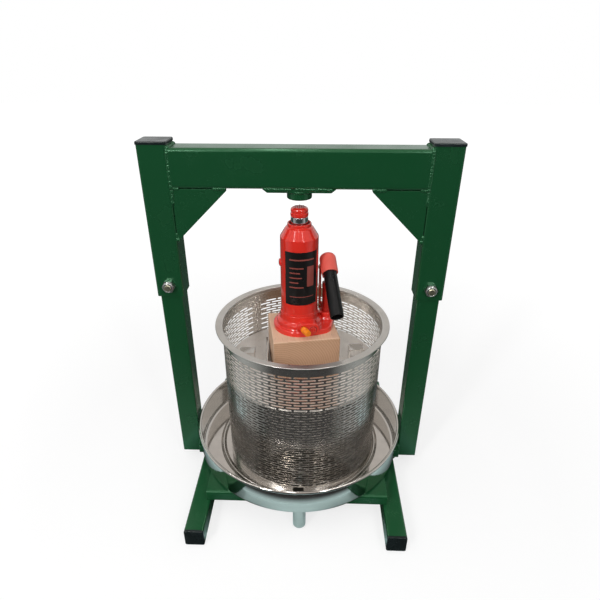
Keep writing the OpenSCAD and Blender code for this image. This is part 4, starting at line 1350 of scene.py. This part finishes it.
class PRESS_OT_tank(BuildOperator):
    """Model the oil tank, its gland, filler plug and label."""

    bl_idname = "press.tank"
    bl_label = "Oil tank"

    def build(self):
        bottom, top = heights("oil_tank")
        radius = radius_of("oil_tank")
        neck, mouth = 17.4 * MM, 15.4 * MM
        shoulder, neck_low = top - 20 * MM, top - 5 * MM
        inside, inner = low("tank_gland").z, radius - 2 * MM
        foot_r = radius + 0.5 * MM
        shell = ring([
            (inner, bottom, 0), (foot_r, bottom, 0.4 * MM), (foot_r, bottom + 2 * MM, 0.9 * MM),
            (radius, bottom + 3.2 * MM, 1 * MM), (radius, shoulder, 3.5 * MM),
            (neck + 2.6 * MM, neck_low - 1.4 * MM, 2.2 * MM), (neck, neck_low, 0.6 * MM),
            (neck, top, 1.1 * MM), (mouth, top, 0.8 * MM), (mouth, inside, 0),
            (inner, inside - 12 * MM, 0)], steps=96)
        single("tank_shell", jack_paint(), shell, "press_head", "red_paint", "oil_tank")
        self.gland(mouth - 0.1 * MM)
        self.filler(radius)
        self.label(radius)

    def gland(self, outer):
        bottom, top = heights("tank_gland")
        inner, lip = radius_of("jack_ram") + 0.08 * MM, top - 0.5 * MM
        rubber = moulded("wiper_rubber", (0.012, 0.012, 0.012), gloss=0.5)
        solid = ring([(inner, bottom, 0), (outer, bottom, 0), (outer, lip, 0.4 * MM),
                      (inner + 1.2 * MM, lip, 0.2 * MM), (inner, top, 0.2 * MM)], steps=64)
        single("gland_ring", rubber, solid, "press_head", "bright_steel", "tank_gland")

    def filler(self, radius):
        """The domed oil plug at the side of the tank."""
        head, proud, sunk = 6 * MM, 2.5 * MM, -2 * MM
        dome = turned([(0, sunk, 0), (head, sunk, 0), (head, proud * 0.4, 1.2 * MM),
                       (head * 0.55, proud, 3 * MM), (0, proud, 0)], steps=40)
        place = at((-radius, 0, middle("filler_plug").z)) @ along((-1, 0, 0))
        single("filler_dome", jack_paint(), dome, "press_head", "red_paint", "filler_plug",
               HEAD @ place)

    def label(self, radius):
        """A plain label: a dark ground with a few blocks."""
        ground = painted("label_print_ground", finishes().label_black, gloss=0.3, cloud=0.2,
                         peel=0.00002, mirror=0.3)
        ink = painted("label_print_blocks", finishes().label_red, gloss=0.3, cloud=0.2,
                      peel=0.00002)
        piece = Piece("tank_label", ground, ink)
        bottom, top = heights("jack_label")
        sweep, height = math.radians(108), top - bottom
        self.sheet(piece, radius + 0.05 * MM, -sweep / 2, sweep / 2, bottom, top, 0)
        # Left and right ends, lower and upper edges, as shares of the label
        edge = -0.36
        blocks = [(edge, 0.36, 0.85, 0.875), (0.14, 0.36, 0.36, 0.74), (edge, 0.36, 0.16, 0.172)]
        lines = ((0.04, 0.70), (-0.06, 0.61), (0.0, 0.52), (-0.1, 0.43), (0.04, 0.34))
        blocks += [(edge, right, under, under + 0.02) for right, under in lines]
        for left, right, under, over in blocks:
            self.sheet(piece, radius + 0.2 * MM, left * sweep, right * sweep,
                       bottom + under * height, bottom + over * height, 1)
        piece.finish("press_head", "label", "jack_label", even=False)

    def sheet(self, piece, radius, start, end, bottom, top, material):
        """A patch of the label, bent round the tank."""
        thick = 0.15 * MM
        steps = max(2, round(math.degrees(end - start) / 4))
        solid = band(radius, radius + thick, bottom, top, steps, end - start)
        bmesh.ops.holes_fill(solid, edges=solid.edges, sides=4)
        piece.add(solid, HEAD @ Matrix.Rotation(start - math.pi / 2, 4, "Z"), material)


class PRESS_OT_ram(BuildOperator):
    """Model the ram and the saddle on its screw."""

    bl_idname = "press.ram"
    bl_label = "Ram and saddle"

    def build(self):
        bottom, top = heights("jack_ram")
        radius, bore, edge = radius_of("jack_ram"), 8.1 * MM, 0.8 * MM
        bore_end = top - 58 * MM
        shape = turned([(0, bottom, 0), (radius, bottom, edge), (radius, top, edge),
                        (bore, top, 0.4 * MM), (bore, bore_end, 0), (0, bore_end, 0)], steps=72)
        single("ram_rod", ground_steel(), shape, "ram", "bright_steel", "jack_ram")
        self.saddle()

    def saddle(self):
        foot, top = heights("extension_screw")
        bottom, radius = high("jack_ram").z, radius_of("extension_screw")
        height, crown = top - bottom, top - 0.7 * MM
        groove = bottom + 0.46 * height
        screw, pitch = 8 * MM, 2 * MM
        root = screw - 0.9 * MM
        dark = painted("saddle_dark_red", darker(finishes().jack_red, 0.35), gloss=0.4)
        piece = Piece("saddle_screw_head", jack_paint(), dark)
        thread = [(0, foot), (screw - 1 * MM, foot),
                  *thread_path(screw, root, foot, bottom - 2 * pitch, pitch),
                  (root, bottom), (0, bottom)]
        piece.add(lathe(thread, closed=False, steps=32), material=1)
        piece.add(turned([
            (0, bottom + 0.05 * MM, 0), (radius - 0.6 * MM, bottom + 0.05 * MM, 0.8 * MM),
            (radius, bottom + 0.2 * height, 2 * MM),
            (radius - 0.2 * MM, groove - 0.8 * MM, 1.2 * MM),
            (radius - 1.7 * MM, groove, 0.5 * MM), (radius - 0.4 * MM, groove + 1 * MM, 0.9 * MM),
            (radius - 0.6 * MM, top - 2.4 * MM, 3 * MM), (radius - 4.2 * MM, crown, 1.5 * MM),
            (0, crown, 0)], steps=64))
        self.knurl(piece, radius - 3.4 * MM, top)
        piece.finish("saddle", "red_paint", "extension_screw")

    def knurl(self, piece, radius, top):
        """Small studs on the saddle's face."""
        pitch, height = 2.6 * MM, 1.1 * MM
        count = int(radius / pitch)
        for column in range(-count, count + 1):
            for row in range(-count, count + 1):
                if math.hypot(column, row) * pitch <= radius - 0.6 * pitch:
                    place = at((column * pitch, row * pitch, top - height / 2))
                    piece.add(cone(1.6 * MM, 0.7 * MM, height, segments=4),
                              place @ Matrix.Rotation(math.pi / 4, 4, "Z"), material=1)


class PRESS_OT_pump(BuildOperator):
    """Model the pump cylinder, plunger, links and pins."""

    bl_idname = "press.pump"
    bl_label = "Pump"

    def build(self):
        bottom, top = heights("pump_cylinder")
        radius, waist = 7 * MM, 6.5 * MM
        bore = PLUNGER_RADIUS + 0.08 * MM
        centre = HEAD @ at((PUMP.x, PUMP.y, 0))
        # The barrel gets a darker copy of the jack's red: painted shade beside the tank, under the
        # handle
        dark = painted("pump_dark_red", darker(finishes().jack_red, 0.55), gloss=0.3)
        barrel = ring([
            (bore, bottom + 4 * MM, 0), (bore, bottom, 0), (radius, bottom, 0),
            (radius, bottom + 5 * MM, 0.5 * MM), (waist, bottom + 5.6 * MM, 0.4 * MM),
            (waist, top - 9 * MM, 0.4 * MM), (radius, top - 8.4 * MM, 0.5 * MM),
            (radius, top, 1 * MM), (bore, top, 0.4 * MM)], steps=48)
        single("pump_barrel", dark, barrel, "press_head", "red_paint", "pump_cylinder", centre)
        self.plunger(centre, top + 2 * MM)
        self.links()

    def plunger(self, centre, shoulder):
        """The plunger's rod, and its eye with the slot for the pin."""
        steel = rolled("plunger_steel", (0.22, 0.21, 0.20), 0.35, (40, 40, 1600))
        piece = Piece("plunger_rod", steel)
        foot = low("pump_plunger").z
        piece.add(rod(PLUNGER_RADIUS, foot, shoulder, 0.6 * MM, 0.8 * MM, steps=40), centre)
        eye_r, sheet, neck, round_r = 6.6 * MM, 6 * MM, PLUNGER_RADIUS, 3 * MM
        pin_z = PLUNGER_PIN.z
        crown, crown_x = pin_z + eye_r, eye_r * 0.6
        eye = rounded_path([
            (-neck, shoulder - 1 * MM, 0), (neck, shoulder - 1 * MM, 0),
            (neck, pin_z - eye_r, 1 * MM), (eye_r, pin_z, round_r), (crown_x, crown, round_r),
            (-crown_x, crown, round_r), (-eye_r, pin_z, round_r), (-neck, pin_z - eye_r, 1 * MM)])
        slip, hole_r = 1.1 * MM, 3.35 * MM
        slot = rounded_box(-slip - hole_r, pin_z - hole_r, slip + hole_r, pin_z + hole_r,
                           hole_r * ROUND_END)
        piece.add(prism(eye, sheet, slot),
                  HEAD @ at((PUMP.x - sheet / 2, PUMP.y, 0)) @ AXIS_TURNS["X"])
        piece.finish("pump", "bright_steel", "pump_plunger")

    def links(self):
        high_z = LINK_PIN.z
        low_z = high_z - LINK_LENGTH
        sheet, inner = 2.5 * MM, 7 * MM
        piece = Piece("link_bars", painted("link_orange_red", (0.62, 0.05, 0.015), gloss=0.25))
        outline = rounded_box(-LINK_RADIUS, low_z - LINK_RADIUS, LINK_RADIUS, high_z + LINK_RADIUS,
                              ROUND_END * LINK_RADIUS, steps=10)
        for start in (inner, -inner - sheet):
            piece.add(break_edges(prism(outline, sheet), 0.4 * MM),
                      HEAD @ at((PUMP.x + start, LINK_PIN.y, 0)) @ AXIS_TURNS["X"])
        piece.finish("press_head", "red_paint", "link_plates")
        pins = Piece("link_rivets", zinc_plate())
        for z in (low_z, high_z):
            self.pin(pins, (PUMP.x, LINK_PIN.y, z), 11 * MM)
        pins.finish("press_head", "zinc", "link_pins")
        pin = Piece("plunger_rivet", zinc_plate())
        self.pin(pin, PLUNGER_PIN, 6.5 * MM)
        pin.finish("socket", "zinc", "plunger_pin")

    def pin(self, piece, centre, half):
        """A pin along the press head's X with rounded ends."""
        radius, edge = 3 * MM, 0.8 * MM
        solid = rod(radius, -half, half, edge, edge, steps=32)
        piece.add(solid, HEAD @ at(centre) @ along((1, 0, 0)))


class PRESS_OT_handle(BuildOperator):
    """Model the handle socket and the handle tube."""

    bl_idname = "press.handle"
    bl_label = "Handle"

    def build(self):
        droop = math.asin(-HANDLE_AXIS.z)
        self.place = HEAD @ at(PLUNGER_PIN) @ Matrix.Rotation(droop, 4, "X")
        self.axis_up = 22 * MM
        self.front = 12 * MM
        self.socket()
        self.tube()

    def at_axis(self, along_y):
        """Place on the tube's axis with Z along the handle."""
        return self.place @ at((0, along_y, self.axis_up)) @ along((0, -1, 0))

    def socket(self):
        radius, bore = 12.5 * MM, 10.3 * MM
        span, dome = 33 * MM, 8 * MM
        back = span - 26.6 * MM
        # A paler red than the jack's, from worn paint and a painted sheen where the socket faces
        # up
        wear_and_sheen = painted("socket_worn_red", (0.95, 0.15, 0.115), gloss=0.42, cloud=0.5,
                       peel=0.0001)
        piece = Piece("socket_tube", wear_and_sheen)
        sleeve = turned([(0, 0, 0), (radius, 0, dome), (radius, span, 0.9 * MM),
                         (bore, span, 0.8 * MM), (bore, back, 0), (0, back, 0)], steps=56, arc=8)
        piece.add(sleeve, self.at_axis(span - self.front))
        pivot = self.place.inverted() @ HEAD @ LINK_PIN
        lug_r, sheet, inner = 5.5 * MM, 3 * MM, 3.5 * MM
        top, rear = self.axis_up - radius + 1.4 * MM, pivot.y + lug_r
        under = pivot.z - lug_r
        outline = rounded_path([
            (-lug_r, top, 0), (-lug_r, -lug_r, 0.9 * lug_r), (pivot.y, under, 0.5 * lug_r),
            (rear, under, 0.8 * lug_r), (rear, top, 0)], steps=8)
        for start in (inner, -inner - sheet):
            solid = break_edges(prism(outline, sheet), 0.5 * MM, least=1.0)
            piece.add(solid, self.place @ at((start, 0, 0)) @ AXIS_TURNS["X"])
        piece.finish("socket", "red_paint", "handle_socket")

    def tube(self):
        outer, span, inside = 10 * MM, 98 * MM, 26 * MM
        wall = sizes().handle_wall
        inner, lip = outer - wall, wall * 0.48
        black = painted("handle_satin_black", finishes().handle_black, gloss=0.28, mirror=0.22)
        pipe = ring([(inner, 0, lip), (outer, 0, lip), (outer, span, lip), (inner, span, lip)],
                    steps=56)
        single("handle_pipe", black, pipe, "handle", "black_paint", "handle_tube",
               self.at_axis(inside - self.front))


class PRESS_OT_valves(BuildOperator):
    """Model the release knob and the check valve plug."""

    bl_idname = "press.valves"
    bl_label = "Valves"

    def build(self):
        orange = finishes().knob_orange
        # The stem under the knob gets a darker copy of its orange: painted shade between the knob
        # and the boss
        piece = Piece("release_knob", painted("knob_orange_paint", orange, gloss=0.22, cloud=0.1),
                      painted("knob_deep_orange", darker(orange, 0.6), gloss=0.3))
        place = HEAD @ at(VALVE) @ along(VALVE_AXIS)
        start, span, radius, stem = 2.5 * MM, 15 * MM, 5 * MM, 4 * MM
        piece.add(rod(stem, -16 * MM, start + 1 * MM, 0.8 * MM, 0, steps=32), place, material=1)
        neck, neck_end, edge = radius - 1.4 * MM, start + 6 * MM, 0.8 * MM
        piece.add(turned([
            (0, start, 0), (radius, start, edge), (radius, start + 3.5 * MM, edge),
            (neck, start + 4.6 * MM, 0.6 * MM), (neck, neck_end, 0), (0, neck_end, 0)],
            steps=40), place)
        flutes, flute, grip_low = 10, 0.55 * MM, 5.5 * MM
        steps = flutes * 6
        grip = [(radius - flute * (1 + math.cos(flutes * turn)) / 2)
                * Vector((math.cos(turn), math.sin(turn)))
                for turn in (FULL_TURN * step / steps for step in range(steps))]
        piece.add(break_edges(prism(grip, span - grip_low), edge, segments=3, least=1.2),
                  place @ at((0, 0, start + grip_low)))
        piece.finish("valve", "orange_paint", "release_valve")
        self.plug()

    def plug(self):
        """The plug beside the knob, with its key hole and a dark ring round it, which is painted
        shade of a groove.
        """
        # A dark ring round the plug: painted shade of the groove it sits in
        seal_rubber = moulded("plug_seal", (0.05, 0.008, 0.006), gloss=0.6)
        piece = Piece("check_plug", jack_paint(), seal_rubber)
        radius, proud, hole = 5 * MM, 1.2 * MM, 2.4 * MM
        back, hole_end = -5 * MM, -1.6 * MM
        place = HEAD @ at(VALVE + Vector((16 * MM, 0, -3 * MM))) @ along((0, -1, 0))
        piece.add(turned([
            (0, back, 0), (radius, back, 0), (radius, proud, 0.6 * MM), (hole, proud, 0.2 * MM),
            (hole, hole_end, 0), (0, hole_end, 0)], steps=40), place)
        # Painted shade: a thin dark ring, a little proud, round the plug
        groove_shade_ring = band(radius, radius + 0.7 * MM, -1 * MM, 0.15 * MM, steps=40)
        piece.add(groove_shade_ring, place, material=1)
        piece.finish("press_head", "red_paint", "valve_plug")


class PRESS_OT_inner_parts(BuildOperator):
    """Finish the CAD nodes that stay inside the jack."""

    bl_idname = "press.inner_parts"
    bl_label = "Inner parts"

    def build(self):
        rubber = moulded("seal_rubber", (0.02, 0.02, 0.02), gloss=0.55)
        for node, material in (("pressure_cylinder", ground_steel()), ("ram_seal", rubber)):
            mesh = frame["nodes"][node].data
            mesh.materials.clear()
            mesh.materials.append(material)


# Lamps of the stage: name, place, width and length, power, and if it looks straight down
STRIP = (0.12, 2.4)
LAMPS = (
    ("key_softbox", (-0.9, -1.5, 1.35), (0.22, 0.7), 14, False),
    ("fill_softbox", (0.8, -1.6, 1.3), (0.2, 0.7), 6, False),
    ("left_strip", (-1.3, -0.7, 2.2), STRIP, 7, True),
    ("middle_strip", (-0.15, -0.7, 2.2), STRIP, 7, True),
    ("right_strip", (0.9, -0.7, 2.2), STRIP, 7, True),
)

# Painted shade and reflection tones of the floor, which only the metal and the paint see: beside
# the feet, behind the press, far off
FEET_SHADE = (0.08, 0.10, 0.09)
BACK_SHADE = (0.10, 0.13, 0.12)
FAR_FLOOR_REFLECTION = (0.50, 0.53, 0.52)
FLOOR_GREY = (0.28, 0.28, 0.28)

# The dark card, a painted reflection: its section as (distance, height), half its sweep, and the
# glowing tone of its sides
CARD_SECTION = [(0.221, 0.002), (1.6, 0.002), (1.9, 0.35), (2.0, 0.95)]
CARD_HALF_SWEEP = math.radians(75)
CARD_SIDES = (0.48, 0.51, 0.50)


class PRESS_OT_stage(BuildOperator):
    """Set up the floor, the light and the camera."""

    bl_idname = "press.stage"
    bl_label = "Stage"

    def build(self):
        bpy.context.scene.view_settings.view_transform = "Standard"
        self.floor()
        self.dark_card()
        self.room()
        for lamp in LAMPS:
            self.lamp(*lamp)
        self.camera()

    def floor(self):
        """A pale floor that shows white to the camera but keeps the shadow; reflections see
        painted tones of it instead, with painted shade beside the feet and behind the press.
        """
        solid = bmesh.new()
        bmesh.ops.create_grid(solid, x_segments=1, y_segments=1, size=6)
        material, tree, shader, place = start_material("pale_floor")
        split = add_node(tree, "SeparateXYZ", {0: place}).outputs
        reach = distance(tree, place)
        # Painted reflection: what reflections see of the floor, cyan near the press and greyer far
        # off
        mirrored = blend(tree, spread(tree, reach, 0.27, 0.37, 0, 1), view().floor_reflection,
                         FAR_FLOOR_REFLECTION)
        # Painted shade on the floor beside the feet, seen only in reflections
        aside = spread(tree, combine(tree, split["X"], 0, "ABSOLUTE"), 0.03, 0.09, 0, 1)
        shade = combine(tree, aside, spread(tree, reach, 0.185, 0.225, 1, 0), "MULTIPLY")
        mirrored = blend(tree, shade, mirrored, FEET_SHADE)
        # Painted shade on the floor behind the press, seen only in reflections
        mirrored = blend(tree, spread(tree, split["Y"], -0.02, 0.2, 0, 1), mirrored, BACK_SHADE)
        seen, glossy = self.rays(tree)
        glow = spread(tree, reach, 0.45, 1.5, 0.74, 0.93)
        feed(tree, shader, {
            "Base Color": blend(tree, glossy, FLOOR_GREY, mirrored), "Roughness": 0.8,
            "Specular IOR Level": 0.1, "Emission Color": (1, 1, 1),
            "Emission Strength": combine(tree, seen, glow, "MULTIPLY")})
        self.stage_sheet("floor", solid, material)

    def dark_card(self):
        """A dark card in front of the press, which only the bright metal reflects: a painted
        reflection, black in the middle, with a glowing pale tone at its sides and floor colour at
        its near edge.
        """
        solid = lathe(CARD_SECTION, closed=False, steps=30, sweep=2 * CARD_HALF_SWEEP)
        turn = Matrix.Rotation(-math.pi / 2 - CARD_HALF_SWEEP, 3, "Z")
        bmesh.ops.rotate(solid, matrix=turn, verts=solid.verts)
        material, tree, shader, place = start_material("dark_card")
        split = add_node(tree, "SeparateXYZ", {0: place}).outputs
        reach = distance(tree, place)
        aside = combine(tree, combine(tree, split["X"], 0, "ABSOLUTE"), reach, "DIVIDE")
        # Painted reflection: black in front, glowing pale at the sides and at the near edge
        tone = blend(tree, spread(tree, aside, 0.6, 0.97, 0, 1), (0, 0, 0), CARD_SIDES)
        near = spread(tree, reach, 0.222, 0.232, 1, 0)
        feed(tree, shader, {
            "Base Color": (0.02, 0.02, 0.02), "Roughness": 0.9, "Emission Strength": 0.85,
            "Emission Color": blend(tree, near, tone, view().floor_reflection)})
        card = self.stage_sheet("dark_card", solid, material)
        card.visible_camera = card.visible_diffuse = False
        card.visible_transmission = card.visible_shadow = False

    def stage_sheet(self, name, solid, material):
        """An object of the stage from its bmesh."""
        mesh = mesh_of(solid, name)
        mesh.materials.append(material)
        return show(name, mesh)

    def rays(self, tree):
        """If a ray comes from the camera, and if it is a reflection."""
        path = add_node(tree, "LightPath").outputs
        seen = combine(tree, path["Is Camera Ray"], path["Is Transmission Ray"], "MAXIMUM")
        return seen, path["Is Glossy Ray"]

    def room(self):
        """Even room light, a white background, and a warm ceiling for the metal."""
        world = bpy.data.worlds.new("room")
        bpy.context.scene.world = world
        world.use_nodes = True
        tree = world.node_tree
        look = view()
        place = add_node(tree, "TexCoord").outputs["Generated"]
        up = add_node(tree, "SeparateXYZ", {0: place}).outputs["Z"]
        mirrored = blend(tree, spread(tree, up, 0.15, 0.85, 0, 1), look.wall_reflection,
                         look.ceiling_reflection)
        seen, glossy = self.rays(tree)
        tone = blend(tree, glossy, (look.room_light,) * 3, mirrored)
        feed(tree, tree.nodes["Background"], {"Color": blend(tree, seen, tone, (1, 1, 1))})

    def lamp(self, name, place, size, power, straight):
        """A soft lamp that looks at the jack, or straight down."""
        data = bpy.data.lights.new(name, "AREA")
        data.shape = "RECTANGLE"
        data.size, data.size_y = size
        data.energy = power
        lamp = show(name, data)
        lamp.location = place
        if not straight:
            target = Vector((0, 0, 0.3))
            lamp.rotation_euler = (Vector(place) - target).to_track_quat("Z", "Y").to_euler()

    def camera(self):
        """The photograph's camera."""
        look = view()
        data = bpy.data.cameras.new("camera")
        data.sensor_width = 36
        data.lens = look.lens
        data.shift_x, data.shift_y = look.shift
        data.clip_start = 0.01
        camera = show("camera", data)
        camera.location = (look.camera_x, -look.camera_back, look.camera_up)
        camera.rotation_euler = (math.pi / 2 - look.camera_pitch, 0, look.camera_yaw)
        bpy.context.scene.camera = camera


BUILDERS = (
    PRESS_OT_base, PRESS_OT_posts, PRESS_OT_yoke, PRESS_OT_caps, PRESS_OT_bolts, PRESS_OT_welds,
    PRESS_OT_tray, PRESS_OT_basket, PRESS_OT_plate, PRESS_OT_block,
    PRESS_OT_jack_base, PRESS_OT_tank, PRESS_OT_ram, PRESS_OT_pump, PRESS_OT_handle,
    PRESS_OT_valves, PRESS_OT_inner_parts, PRESS_OT_stage,
)


class PRESS_PT_sidebar(bpy.types.Panel):
    """Lists the pieces of the press in the sidebar."""

    bl_idname = "PRESS_PT_sidebar"
    bl_label = "Fruit Press"
    bl_space_type = "VIEW_3D"
    bl_region_type = "UI"
    bl_category = "Press"

    def draw(self, context):
        for builder in BUILDERS:
            self.layout.operator(builder.bl_idname)
        for group in (sizes(), finishes(), view()):
            box = self.layout.box()
            for key in group.__annotations__:
                box.prop(group, key)


CLASSES = (PressSizes, PressFinishes, PressView, *BUILDERS, PRESS_PT_sidebar)


def register():
    for entry in CLASSES:
        bpy.utils.register_class(entry)
    bpy.types.Scene.press_sizes = bpy.props.PointerProperty(type=PressSizes)
    bpy.types.Scene.press_finishes = bpy.props.PointerProperty(type=PressFinishes)
    bpy.types.Scene.press_view = bpy.props.PointerProperty(type=PressView)


def unregister():
    del bpy.types.Scene.press_sizes
    del bpy.types.Scene.press_finishes
    del bpy.types.Scene.press_view
    for entry in reversed(CLASSES):
        bpy.utils.unregister_class(entry)


def main():
    register()
    for builder in BUILDERS:
        group, name = builder.bl_idname.split(".")
        getattr(getattr(bpy.ops, group), name)()


if __name__ == "__main__":
    main()
